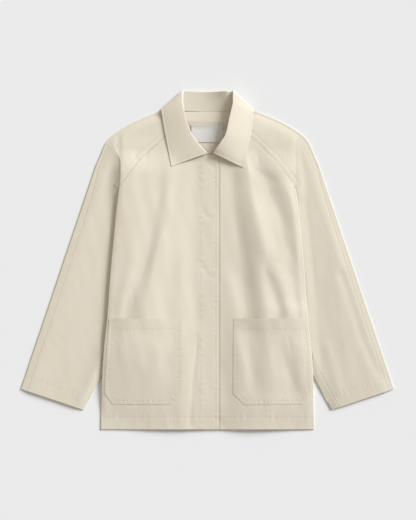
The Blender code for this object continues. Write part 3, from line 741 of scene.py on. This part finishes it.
FRONT_SEAMS = (
    # path, pucker, reach, pitch
    (HEM_PATH, 0.00040, 0.0100, 0.011),
    (FRONT_RAGLAN, 0.00025, 0.0060, 0.012),
)
PLACKET_SEAMS = (
    (HEM_PATH, 0.00035, 0.0100, 0.012),
    (PLACKET_ROWS[0], 0.00036, 0.0050, 0.011),
    (PLACKET_ROWS[1], 0.00044, 0.0080, 0.016),
)
SLEEVE_SEAMS = (
    (RAGLAN_ROWS[0], 0.00020, 0.0040, 0.007),
    (RAGLAN_ROWS[1], 0.00036, 0.0045, 0.0065),
    (OVERARM_PATH, 0.00025, 0.0050, 0.011),
    (UNDERARM_PATH, 0.00015, 0.0040, 0.012),
    (CUFF_PATH, 0.00035, 0.0090, 0.010),
)
POCKET_SEAMS = (
    (POCKET_STITCHING[0], 0.00024, 0.0030, 0.008),
    (POCKET_STITCHING[1], 0.00040, 0.0045, 0.009),
    (POCKET_HEM_PATH, 0.00020, 0.0050, 0.010),
)


# Finishes


def node(tree, kind, **inputs):
    made = tree.nodes.new(kind)
    for name, value in inputs.items():
        made.inputs[name.replace("_", " ")].default_value = value
    return made


def streaks(tree, place, scale):
    """Slubs: noise drawn out along the threads that run one way."""
    mapping = node(tree, "ShaderNodeMapping", Scale=scale)
    noise = node(tree, "ShaderNodeTexNoise", Scale=1.0, Detail=3.0, Roughness=0.6)
    tree.links.new(place.outputs["UV"], mapping.inputs["Vector"])
    tree.links.new(mapping.outputs["Vector"], noise.inputs["Vector"])
    return noise.outputs["Fac"]


def threads(tree, place, direction, period):
    """The rounded backs of the threads that run one way."""
    wave = node(tree, "ShaderNodeTexWave", Scale=2 * pi / 20 / period, Distortion=0.6, Detail=1.0)
    wave.bands_direction = direction
    tree.links.new(place.outputs["UV"], wave.inputs["Vector"])
    return wave.outputs["Fac"]


def math_node(tree, operation, first, second):
    made = tree.nodes.new("ShaderNodeMath")
    made.operation = operation
    for socket, value in zip(made.inputs, (first, second)):
        if isinstance(value, float):
            socket.default_value = value
        else:
            tree.links.new(value, socket)
    return made.outputs["Value"]


def woven(name, light, dark, thread_period, roughness, sheen, weave_height):
    """Plain-woven cloth: slubs both ways, threads in relief, washed patches, pale wear and painted shade
    along seams, and painted shade towards the hem and the wearer's left.
    """
    made = bpy.data.materials.new(name)
    made.use_nodes = True
    tree = made.node_tree
    shader = tree.nodes["Principled BSDF"]
    shader.inputs["Roughness"].default_value = roughness
    shader.inputs["Sheen Weight"].default_value = sheen
    shader.inputs["Sheen Roughness"].default_value = 0.5
    shader.inputs["Specular IOR Level"].default_value = 0.25

    place = tree.nodes.new("ShaderNodeTexCoord")
    across = streaks(tree, place, (1400.0, 45.0, 1.0))
    along = streaks(tree, place, (60.0, 1200.0, 1.0))
    slubs = math_node(tree, "ADD", across, along)

    patches = node(tree, "ShaderNodeTexNoise", Scale=14.0, Detail=4.0, Roughness=0.55)
    tree.links.new(place.outputs["Object"], patches.inputs["Vector"])
    # Painted shade in the seams' grooves and pucker troughs, and pale wear on their crests
    wear_and_shade = tree.nodes.new("ShaderNodeAttribute")
    wear_and_shade.attribute_name = "wear_and_shade"

    tone = math_node(tree, "MULTIPLY", slubs, 0.42)
    tone = math_node(tree, "ADD", tone, math_node(tree, "MULTIPLY", patches.outputs["Fac"], 0.55))
    tone = math_node(tree, "ADD", tone, math_node(tree, "MULTIPLY", wear_and_shade.outputs["Fac"], 0.60))
    ramp = tree.nodes.new("ShaderNodeValToRGB")
    ramp.color_ramp.elements[0].position = 0.30
    ramp.color_ramp.elements[0].color = dark
    ramp.color_ramp.elements[1].position = 0.97
    ramp.color_ramp.elements[1].color = light
    tree.links.new(tone, ramp.inputs["Fac"])
    # Painted shade, darker towards the hem and the wearer's left
    painted_falloff = tree.nodes.new("ShaderNodeVectorMath")
    painted_falloff.operation = "DOT_PRODUCT"
    painted_falloff.inputs[1].default_value = PAINTED_SHADE_GRADIENT
    tree.links.new(place.outputs["Object"], painted_falloff.inputs[0])
    shade = tree.nodes.new("ShaderNodeHueSaturation")
    tree.links.new(math_node(tree, "ADD", painted_falloff.outputs["Value"], 1.0), shade.inputs["Value"])
    tree.links.new(ramp.outputs["Color"], shade.inputs["Color"])
    tree.links.new(shade.outputs["Color"], shader.inputs["Base Color"])

    warp = threads(tree, place, "X", thread_period)
    weft = threads(tree, place, "Y", thread_period)
    relief = math_node(tree, "MAXIMUM", warp, weft)
    relief = math_node(tree, "ADD", relief, math_node(tree, "MULTIPLY", slubs, 1.5))
    bump = node(tree, "ShaderNodeBump", Strength=0.6, Distance=weave_height)
    tree.links.new(relief, bump.inputs["Height"])
    tree.links.new(bump.outputs["Normal"], shader.inputs["Normal"])
    return made


def thread_finish():
    made = bpy.data.materials.new("sewing_thread")
    made.use_nodes = True
    tree = made.node_tree
    shader = tree.nodes["Principled BSDF"]
    shader.inputs["Roughness"].default_value = 0.6
    place = tree.nodes.new("ShaderNodeTexCoord")
    noise = node(tree, "ShaderNodeTexNoise", Scale=180.0, Detail=2.0)
    ramp = tree.nodes.new("ShaderNodeValToRGB")
    ramp.color_ramp.elements[0].color = tuple(0.85 * value for value in THREAD_COLOUR[:3]) + (1.0,)
    ramp.color_ramp.elements[1].color = THREAD_COLOUR
    tree.links.new(place.outputs["Object"], noise.inputs["Vector"])
    tree.links.new(noise.outputs["Fac"], ramp.inputs["Fac"])
    tree.links.new(ramp.outputs["Color"], shader.inputs["Base Color"])
    return made


CANVAS = woven("washed_canvas", CANVAS_LIGHT, CANVAS_DARK, 0.0007, 0.88, 0.12, 0.00012)
TAPE = woven("woven_tape", TAPE_LIGHT, TAPE_DARK, 0.0004, 0.45, 0.05, 0.00004)
THREAD = thread_finish()


# Making a piece from rows of points


def grid_faces(rows, face_up):
    """Quads between rows. A row may hold fewer points than its neighbour at its far end."""
    starts = np.cumsum([0] + [len(row) for row in rows])
    faces = []
    for i in range(len(rows) - 1):
        count = min(len(rows[i]), len(rows[i + 1]))
        low, high = np.arange(count - 1) + starts[i], np.arange(count - 1) + starts[i + 1]
        quads = np.column_stack([low, low + 1, high + 1, high])
        faces.append(quads if face_up else quads[:, ::-1])
    return np.concatenate(faces)


def grain_of(rows):
    """Each point's place on the flat cloth: along its row, and up from the first row."""
    grain = []
    up = 0.0
    for i, row in enumerate(rows):
        if i:
            third = len(row) // 3
            up += np.linalg.norm(row[third] - rows[i - 1][min(third, len(rows[i - 1]) - 1)])
        across = np.concatenate([[0.0], np.cumsum(np.linalg.norm(np.diff(row, axis=0), axis=1))])
        grain.append(np.column_stack([across, np.full(len(row), up)]))
    return np.concatenate(grain)


def cloth(name, rows, wall, finish, face_up=True, offset=-1.0, wear_and_shade=None):
    """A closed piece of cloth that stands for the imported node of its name."""
    points = np.concatenate(rows)
    mesh = bpy.data.meshes.new(name + "_cloth")
    mesh.from_pydata(points.tolist(), [], grid_faces(rows, face_up).tolist())
    corners = np.empty(len(mesh.loops), np.int32)
    mesh.loops.foreach_get("vertex_index", corners)
    mesh.uv_layers.new(name="Grain").data.foreach_set("uv", grain_of(rows)[corners].ravel())
    # The seams' marks at each point: painted shade where the cloth sinks, and pale wear where it rises
    worn_and_shaded = mesh.attributes.new("wear_and_shade", "FLOAT", "POINT")
    worn_and_shaded.data.foreach_set("value", np.zeros(len(points)) if wear_and_shade is None else np.concatenate(wear_and_shade))
    piece = bpy.data.objects.new(name + "_cloth", mesh)
    bpy.context.collection.objects.link(piece)
    bpy.ops.object.select_all(action="DESELECT")
    bpy.context.view_layer.objects.active = piece
    piece.select_set(True)
    solidify = piece.modifiers.new("Wall", "SOLIDIFY")
    solidify.thickness = wall
    solidify.offset = offset
    bpy.ops.object.modifier_apply(modifier=solidify.name)
    bpy.ops.object.shade_smooth_by_angle(angle=radians(50))
    mesh.materials.append(finish)
    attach(piece, "root")
    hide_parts(name)
    return piece


def mirrored(rows, side):
    return [row * np.array((side, 1, 1)) for row in rows]


def grid_rows(x, y, z):
    """Rows of points from coordinates, any of which may stay the same along a row."""
    return list(np.stack(np.broadcast_arrays(x, y, z), axis=-1))


def fold_turns(steps):
    """The turns of the points round a fold, from just past its upper face to just short of its lower one."""
    return pi / 2 - pi * np.arange(1, steps) / steps


def round_fold(x, y, low, high):
    """Points round a pressed fold that bulges to +X, from its upper face to its lower one."""
    turns = fold_turns(FOLD_STEPS)
    depth = np.where(turns > 0, SIDE_FOLD_DEPTH, UNDERCUT)
    radius = (high - low) / 2
    round_x = x[:, None] + SIDE_FOLD_DEPTH - depth * (1 - np.cos(turns))
    return grid_rows(round_x, y[:, None], (low + radius)[:, None] + radius[:, None] * np.sin(turns))


# Body pieces


def make_front(side):
    inner = UNDERLAP_X if side == LEFT else -PLACKET_INNER_X
    armpit = np.array(ARMPIT_Y)
    armpit_edge = float(body_edge(armpit) - SIDE_FOLD_DEPTH)
    steps = armpit_edge - np.array(FRONT_EDGE_STEPS)
    columns = np.append(np.linspace(inner, steps[0], FRONT_COLUMNS[side]), steps[1:])
    at_neck = columns < FRONT_RAGLAN[0][0]
    tops = np.where(at_neck, read(FRONT_NECK, columns), read(FRONT_RAGLAN, columns) - SEAM_GAP)
    tops[-1] = ARMPIT_Y
    share = np.linspace(0, 1, FRONT_LINES)[:, None]
    y = HEM_Y + (tops - HEM_Y) * share
    below = np.minimum(y, ARMPIT_Y)
    edge = body_edge(below) - SIDE_FOLD_DEPTH
    widened = inner + (columns - inner) * (edge - inner) / (armpit_edge - inner)
    x = columns + (widened - columns) * smooth((columns - RELIEF_START / 1000) / WIDENING_REACH)
    seams = pressed(FRONT_SEAMS, x, y, side)
    z = front_height(side * x, y) + seams
    if side == LEFT:
        z -= UNDERLAP_DROP * smooth((PLACKET_EDGE_X + UNDERLAP_STEP[0] - x) / UNDERLAP_STEP[1])
    side_y = y[:, -1]
    low = over_sleeve(side_y)
    edge_x = body_edge(side_y) - SIDE_FOLD_DEPTH
    fold = round_fold(edge_x, side_y, low, z[:, -1])
    under_start = edge_x + SIDE_FOLD_DEPTH - UNDERCUT
    under = np.linspace(under_start, body_edge(side_y) - SIDE_TURN, TURNED_COLUMNS, axis=1)
    turned = grid_rows(under, side_y[:, None], low[:, None])
    rows = [np.vstack(parts) for parts in zip(grid_rows(x, y, z), fold, turned)]
    unmarked = np.zeros(FOLD_STEPS - 1 + TURNED_COLUMNS)
    wear_and_shade = [np.concatenate([line, unmarked]) for line in seams * SEAM_WEAR_AND_SHADE]
    name = "front_" + SIDE_NAMES[side]
    return cloth(name, mirrored(rows, side), WALL, CANVAS, face_up=side == LEFT, wear_and_shade=wear_and_shade)


def make_placket():
    columns = np.linspace(PLACKET_INNER_X + SEAM_CRACK, PLACKET_EDGE_X, PLACKET_COLUMNS)
    y, x = np.meshgrid(np.linspace(HEM_Y, PLACKET_TOP_Y, PLACKET_LINES), columns, indexing="ij")
    seams = pressed(PLACKET_SEAMS, x, y)
    pressed_edge = PLACKET_EDGE_DROP * np.exp(-(((PLACKET_EDGE_X - x) / 0.0010) ** 2))
    z = front_height(x, y) + PLACKET_GAP + seams - pressed_edge
    wear_and_shade = list(seams * SEAM_WEAR_AND_SHADE)
    return cloth("placket", grid_rows(x, y, z), PLACKET_WALL, CANVAS, wear_and_shade=wear_and_shade)


def make_back():
    half = np.linspace(0.0, BACK_RAGLAN[-1][0], BACK_COLUMNS)
    columns = np.concatenate([-half[:0:-1], half])
    size = np.abs(columns)
    tops = np.where(size <= BACK_RAGLAN[0][0], BACK_NECK_Y, read(BACK_RAGLAN, size) - 1.5 * SEAM_GAP)
    body, neck = np.linspace(0, 0.84, BACK_BODY_LINES), np.linspace(0.845, 1, BACK_NECK_LINES)
    share = np.concatenate([body, neck])[:, None]
    y = HEM_Y + (tops - HEM_Y) * share
    edge = body_edge(np.minimum(y, ARMPIT_Y)) - SIDE_TURN - SEAM_GAP
    x = columns * edge / (body_edge(np.array(ARMPIT_Y)) - SIDE_TURN)
    z = back_height(x, y) - NECK_TUCK * smooth((y - BACK_NECK_Y + 0.005) / 0.004) * (size < 0.060)
    return cloth("back", grid_rows(x, y, z), WALL, CANVAS, face_up=False)


def make_pocket(side):
    corners = np.linspace(POCKET[0][0], POCKET[1][0], POCKET_CORNER_LINES)[:-1]
    y = np.concatenate([corners, np.linspace(POCKET[1][0], POCKET_MOUTH_Y, POCKET_LINES)])
    inner = np.interp(y, [row[0] for row in POCKET], [row[1] for row in POCKET])
    outer = np.interp(y, [row[0] for row in POCKET], [row[2] for row in POCKET])
    share = np.linspace(0, 1, POCKET_COLUMNS)
    x = inner[:, None] + (outer - inner)[:, None] * share
    y = np.repeat(y[:, None], len(share), axis=1)
    seams = pressed(POCKET_SEAMS, x, y, side)
    over_folds = folded(side * x, y, LEFT_POCKET_RELIEF, RIGHT_POCKET_RELIEF) - folded(side * x, y)
    z = front_height(side * x, y) + np.maximum(over_folds, 0) + POCKET_GAP + POCKET_WALL + seams
    name = "pocket_" + SIDE_NAMES[side]
    rows = mirrored(grid_rows(x, y, z), side)
    wear_and_shade = list(seams * SEAM_WEAR_AND_SHADE)
    return cloth(name, rows, POCKET_WALL, CANVAS, face_up=side == LEFT, wear_and_shade=wear_and_shade)


def make_tape(name):
    """A blank woven tape sewn on the inside of the back."""
    low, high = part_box(name)
    lines, columns = np.linspace(low.y, high.y, TAPE_LINES), np.linspace(low.x, high.x, TAPE_COLUMNS)
    y, x = np.meshgrid(lines, columns, indexing="ij")
    bulge = np.sin(pi * (x - low.x) / (high.x - low.x)) * np.sin(pi * (y - low.y) / (high.y - low.y))
    z = back_height(x, y) + WALL + PLY_GAP + TAPE_WALL + TAPE_RISE * bulge
    return cloth(name, grid_rows(x, y, z), TAPE_WALL, TAPE)


# Sleeves


def find_fold(stations, side):
    """The distance in from the outer fold at which a station meets the fold that lies over the sleeve."""
    low = np.zeros(len(stations))
    high = width(stations, OUTER, SEAM)
    for _ in range(22):
        middle = (low + high) / 2
        x, y = towards(stations, OUTER, SEAM, middle)
        outside = x > fold_edge(y, side)
        low, high = np.where(outside, middle, low), np.where(outside, high, middle)
    return low


def front_marks(stations, side, count):
    """Distances of the front piece's columns, close together where the body's fold lies over it."""
    first = stations[:, OVERARM] + SEAM_CRACK
    last = width(stations, OUTER, SEAM) - SEAM_CRACK
    fold = find_fold(stations, side)
    marks = []
    for start, end, dense in zip(first, last, fold):
        trial = np.linspace(start, end, 200)
        weight = np.cumsum(1 + 5.0 * np.exp(-(((trial - dense) / 0.006) ** 2)))
        marks.append(np.interp(np.linspace(weight[0], weight[-1], count), weight, trial))
    return np.array(marks)


def sleeve_places():
    """The stations of the sleeve's grid: at the cuff, along the tube and up the cap."""
    cuff, tube = np.linspace(0, 2, 34)[:-1], np.linspace(2, TUBE_END, 150)[:-1]
    return between(STATIONS, np.concatenate([cuff, tube, np.linspace(TUBE_END, CAP_END, 110)]))


SLEEVE_PLACES = sleeve_places()


def sleeve_points(distance, side):
    """The sleeve's upper face at a distance in from the outer fold, for every station."""
    x, y = towards(SLEEVE_PLACES, OUTER, SEAM, distance)
    inward = np.hypot(x - SLEEVE_PLACES[:, INNER], y - SLEEVE_PLACES[:, INNER + 1])
    seams = pressed(SLEEVE_SEAMS, x, y, side)
    return np.column_stack([x, y, sleeve_height(x, y, distance, inward, side) + seams]), seams


def make_sleeve_front(side):
    marks = front_marks(SLEEVE_PLACES, side, SLEEVE_COLUMNS)
    columns, worn_and_shaded = zip(*(sleeve_points(mark, side) for mark in marks.T[::-1]))
    rows = list(np.stack(columns, axis=1))
    wear_and_shade = list(np.stack(worn_and_shaded, axis=1) * SEAM_WEAR_AND_SHADE)
    name = "sleeve_front_" + SIDE_NAMES[side]
    return cloth(name, mirrored(rows, side), WALL, CANVAS, face_up=side == LEFT, wear_and_shade=wear_and_shade)


def sleeve_fold(stations, fold, inside, radius):
    """Columns round a sleeve's fold, from its upper face to its lower one."""
    columns = []
    for turn in fold_turns(SLEEVE_FOLD_STEPS):
        x, y = towards(stations, fold, inside, (FOLD_DEPTH if turn > 0 else UNDERCUT) * (1 - np.cos(turn)))
        columns.append(np.column_stack([x, y, over_collar(x, y) + radius + radius * np.sin(turn)]))
    return columns


def make_sleeve_back(side):
    radius = SLEEVE_EDGE / 2
    stations = SLEEVE_PLACES
    whole = width(stations, OUTER, INNER)
    folds_under = stations[:, UNDERARM] > 0.004
    strip = stations[:, OVERARM] - SEAM_CRACK - FOLD_DEPTH
    shares = np.linspace(1, 0, SLEEVE_STRIP_COLUMNS) ** 1.6
    top = [sleeve_points(FOLD_DEPTH + strip * share, side)[0] for share in shares]
    top += sleeve_fold(stations, OUTER, SEAM, radius)
    end = np.where(folds_under, whole - UNDERCUT, whole)
    for mark in np.linspace(np.full(len(stations), UNDERCUT), end, SLEEVE_UNDER_COLUMNS):
        x, y = towards(stations, OUTER, INNER, mark)
        top.append(np.column_stack([x, y, over_collar(x, y)]))
    turned = sleeve_fold(stations, INNER, SEAM, radius)[::-1]
    reach = np.minimum(stations[:, UNDERARM], width(stations, SEAM, INNER)) - SEAM_GAP / 4
    for mark in np.linspace(np.full(len(stations), FOLD_DEPTH), reach, SLEEVE_TURNED_COLUMNS):
        x, y = towards(stations, INNER, SEAM, mark)
        z = tube_height(x, y, whole - mark, mark, side) + pressed(SLEEVE_SEAMS[3:], x, y, side)
        turned.append(np.column_stack([x, y, z]))
    flat, wrapped = np.stack(top, axis=1), np.stack(turned, axis=1)
    rows = [np.vstack([a, b]) if under else a for a, b, under in zip(flat, wrapped, folds_under)]
    name = "sleeve_back_" + SIDE_NAMES[side]
    return cloth(name, mirrored(rows, side), WALL, CANVAS, face_up=side == LEFT)


# Collar


def collar_section(row):
    """Points across the collar: up the stand from the neckline, over the roll and down the fall."""
    seam, edge = row[0:3], row[7:10]
    roll_x, roll_y, stand_z, fall_z = row[3:7]
    middle, half = (stand_z + fall_z) / 2, (fall_z - stand_z) / 2
    roll = np.array((roll_x, roll_y, middle))
    to_seam, to_edge = (unit(end[:2] - roll[:2]) for end in (seam, edge))
    away = np.append(unit(to_seam + to_edge), 0.0) * ROLL_DEPTH
    apart = (max(ROLL_RADIUS**2 - half**2, 0.0)) ** 0.5
    across = np.append(unit(to_edge - to_seam) * apart, half)
    turns = np.linspace(-pi / 2, pi / 2, ROLL_POINTS)
    points = [roll + away * (1 - np.cos(turn)) + across * np.sin(turn) for turn in turns]
    stand = [seam + (points[0] - seam) * share for share in np.linspace(0, 1, STAND_POINTS)[:-1]]
    swell = np.clip((fall_z - stand_z) / 0.0034, 0, 1) * FALL_SWELL
    fall = []
    for share in np.linspace(0, 1, FALL_POINTS)[1:]:
        place = points[-1] + (edge - points[-1]) * share**FALL_SPACING
        fall.append(place + np.array((0, 0, swell * np.sin(pi * share))))
    return np.array(stand + points + fall)


def collar_table():
    mirror = np.array((-1, 1, 1, -1, 1, 1, 1, -1, 1, 1))
    right = [np.array(row) * mirror for row in RIGHT_LEAF + RIGHT_BACK]
    left = [np.array(row) for row in LEFT_LEAF + LEFT_BACK]
    return right + left[::-1]


def leaf_row(leaf, side):
    """The row of stitching round a leaf: along its front edge, then its outer edge."""
    outline = [(leaf[0][3], leaf[0][4])] + [(row[7], row[8]) for row in leaf]
    inside = moved_in(outline, COLLAR_ROW)
    return [(side * x, y) for x, y in inside[:-1]]


COLLAR_ROWS = (leaf_row(RIGHT_LEAF, RIGHT), leaf_row(LEFT_LEAF, LEFT))


def make_collar():
    table = collar_table()
    places = np.linspace(0, len(table) - 1, COLLAR_LINES)
    points = np.array([collar_section(row) for row in between(table, places)])
    x, y, z = points[..., 0], points[..., 1], points[..., 2]
    seams = pressed([(path, *COLLAR_PUCKER) for path in COLLAR_ROWS], x, y)
    past_roll = np.arange(points.shape[1]) - FALL_START
    from_front = np.minimum(places, places[-1] - places)
    on_leaf = (from_front < LEAF_ROWS)[:, None] & (past_roll > 0)
    z = np.where(on_leaf, resting_on(front_height(x, y) + COLLAR_WALL, z), z)
    on_fall = smooth(past_roll / 3) * (z > 0.006)
    points[..., 2] = z + seams * on_fall
    wear_and_shade = list(seams * on_fall * SEAM_WEAR_AND_SHADE)
    return cloth("collar", list(points), COLLAR_WALL, CANVAS, offset=0.0, wear_and_shade=wear_and_shade)


# Sewing


def stitch_form():
    """One stitch along X, its ends drawn down into the cloth: its points, in stitch lengths and thread
    radii, and its faces."""
    sides = 5
    rings = ((-0.5, 0.5, -0.8), (-0.3, 1.0, 0.2), (0.3, 1.0, 0.2), (0.5, 0.5, -0.8))
    points = []
    for place, size, lift in rings:
        for k in range(sides):
            turn = 2 * pi * k / sides
            points.append((place, size * np.cos(turn), lift + size * np.sin(turn)))
    faces = [tuple(range(sides)), tuple(reversed(range(3 * sides, 4 * sides)))]
    for ring in range(3):
        for k in range(sides):
            low, after = ring * sides, (k + 1) % sides
            faces.append((low + k, low + sides + k, low + sides + after, low + after))
    return np.array(points), faces


STITCH_POINTS, STITCH_FACES = stitch_form()


def spaced(path, pitch):
    """Places along a path at even spacing, with the path's direction there."""
    points = np.array(path)
    lengths = np.concatenate([[0], np.cumsum(np.linalg.norm(np.diff(points, axis=0), axis=1))])
    marks = np.arange(pitch / 2, lengths[-1], pitch)
    centres = np.column_stack([np.interp(marks, lengths, points[:, k]) for k in (0, 1)])
    ahead = np.column_stack([np.interp(marks + pitch / 3, lengths, points[:, k]) for k in (0, 1)])
    behind = np.column_stack([np.interp(marks - pitch / 3, lengths, points[:, k]) for k in (0, 1)])
    runs = ahead - behind
    return centres, runs / np.maximum(np.linalg.norm(runs, axis=1), 1e-9)[:, None]


def sew(name, paths, piece):
    """Rows of stitches laid on a piece of cloth, as one mesh of separate threads."""
    mesh = piece.data
    tree = BVHTree.FromPolygons([v.co for v in mesh.vertices], [p.vertices for p in mesh.polygons])
    points, faces = [], []
    for path in paths:
        for centre, run in zip(*spaced(path, STITCH_PITCH)):
            place, normal, _, _ = tree.ray_cast((centre[0], centre[1], 0.06), (0, 0, -1))
            if place is None or normal.z < 0.3:
                continue
            up = np.array(normal)
            ahead = unit(np.array((run[0], run[1], 0.0)) - up * (up[0] * run[0] + up[1] * run[1]))
            beside = np.cross(up, ahead)
            start = len(points) * len(STITCH_POINTS)
            scaled = STITCH_POINTS * np.array((STITCH_LENGTH, THREAD_RADIUS, THREAD_RADIUS))
            points.append(np.array(place) + scaled @ np.array((ahead, beside, up)))
            faces += [tuple(start + k for k in face) for face in STITCH_FACES]
    sewn = bpy.data.meshes.new(name)
    sewn.from_pydata(np.concatenate(points).tolist(), [], faces)
    sewn.materials.append(THREAD)
    sewn.shade_smooth()
    rows = bpy.data.objects.new(name, sewn)
    bpy.context.collection.objects.link(rows)
    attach(rows, "root")
    return rows


def on_side(paths, side):
    return [[(side * x, y) for x, y in path] for path in paths]


# Stage


def make_floor():
    bpy.ops.object.select_all(action="DESELECT")
    bpy.ops.mesh.primitive_plane_add(size=1, location=(0, 0, 0))
    floor = bpy.context.active_object
    floor.name = "floor"
    floor.data.transform(((12, 0, 0, 0), (0, 12, 0, 0), (0, 0, 1, -0.0003), (0, 0, 0, 1)))
    paper = bpy.data.materials.new("plain_paper")
    paper.use_nodes = True
    shader = paper.node_tree.nodes["Principled BSDF"]
    shader.inputs["Base Color"].default_value = FLOOR_COLOUR
    shader.inputs["Roughness"].default_value = 0.9
    shader.inputs["Specular IOR Level"].default_value = 0.1
    floor.data.materials.append(paper)


def make_lights():
    """One broad soft light from the upper right, and the studio's own pale light all round."""
    data = bpy.data.lights.new("key", "SUN")
    data.energy = KEY_STRENGTH
    data.color = KEY_COLOUR
    data.angle = radians(KEY_SPREAD)
    light = bpy.data.objects.new("key", data)
    light.rotation_euler = Vector(TOWARDS_KEY).to_track_quat("Z", "Y").to_euler()
    bpy.context.collection.objects.link(light)
    world = bpy.data.worlds.new("studio")
    world.use_nodes = True
    background = world.node_tree.nodes["Background"]
    background.inputs["Color"].default_value = STUDIO_COLOUR
    background.inputs["Strength"].default_value = STUDIO_STRENGTH
    bpy.context.scene.world = world


METRES_PER_PIXEL = 0.0022
IMAGE_HEIGHT = 520
CAMERA_HEIGHT = 4.0
CAMERA_CENTRE = (0.0011, 0.0017)


def make_camera():
    data = bpy.data.cameras.new("camera")
    data.sensor_width = 36.0
    data.lens = data.sensor_width * CAMERA_HEIGHT / (METRES_PER_PIXEL * IMAGE_HEIGHT)
    data.clip_end = 20.0
    camera = bpy.data.objects.new("camera", data)
    camera.location = (*CAMERA_CENTRE, CAMERA_HEIGHT)
    bpy.context.collection.objects.link(camera)
    bpy.context.scene.camera = camera


def make_side(side):
    """The front, pocket and sleeve of one side, sewn."""
    name = SIDE_NAMES[side]
    front = make_front(side)
    pocket = make_pocket(side)
    sleeve = make_sleeve_front(side)
    sleeve_back = make_sleeve_back(side)
    front_rows = on_side([[HEM_PATH[0], (0.0, HEM_PATH[0][1])]], -side)
    front_sewing = sew("stitching_front_" + name, front_rows, front)
    pocket_rows = on_side([*POCKET_STITCHING, POCKET_HEM_PATH, POCKET_BAR], side)
    pocket_sewing = sew("stitching_pocket_" + name, pocket_rows, pocket)
    sleeve_rows = on_side([*RAGLAN_ROWS, CUFF_PATH], side)
    sleeve_sewing = sew("stitching_sleeve_" + name, sleeve_rows, sleeve)


def main():
    bpy.context.scene.view_settings.view_transform = "Standard"
    make_camera()
    make_floor()
    make_lights()

    back = make_back()
    label = make_tape("label")
    size_tab = make_tape("size_tab")
    placket = make_placket()
    collar = make_collar()
    placket_sewing = sew("stitching_placket", [*PLACKET_ROWS, HEM_PATH], placket)
    collar_sewing = sew("stitching_collar", COLLAR_ROWS, collar)
    for side in (RIGHT, LEFT):
        make_side(side)


main()
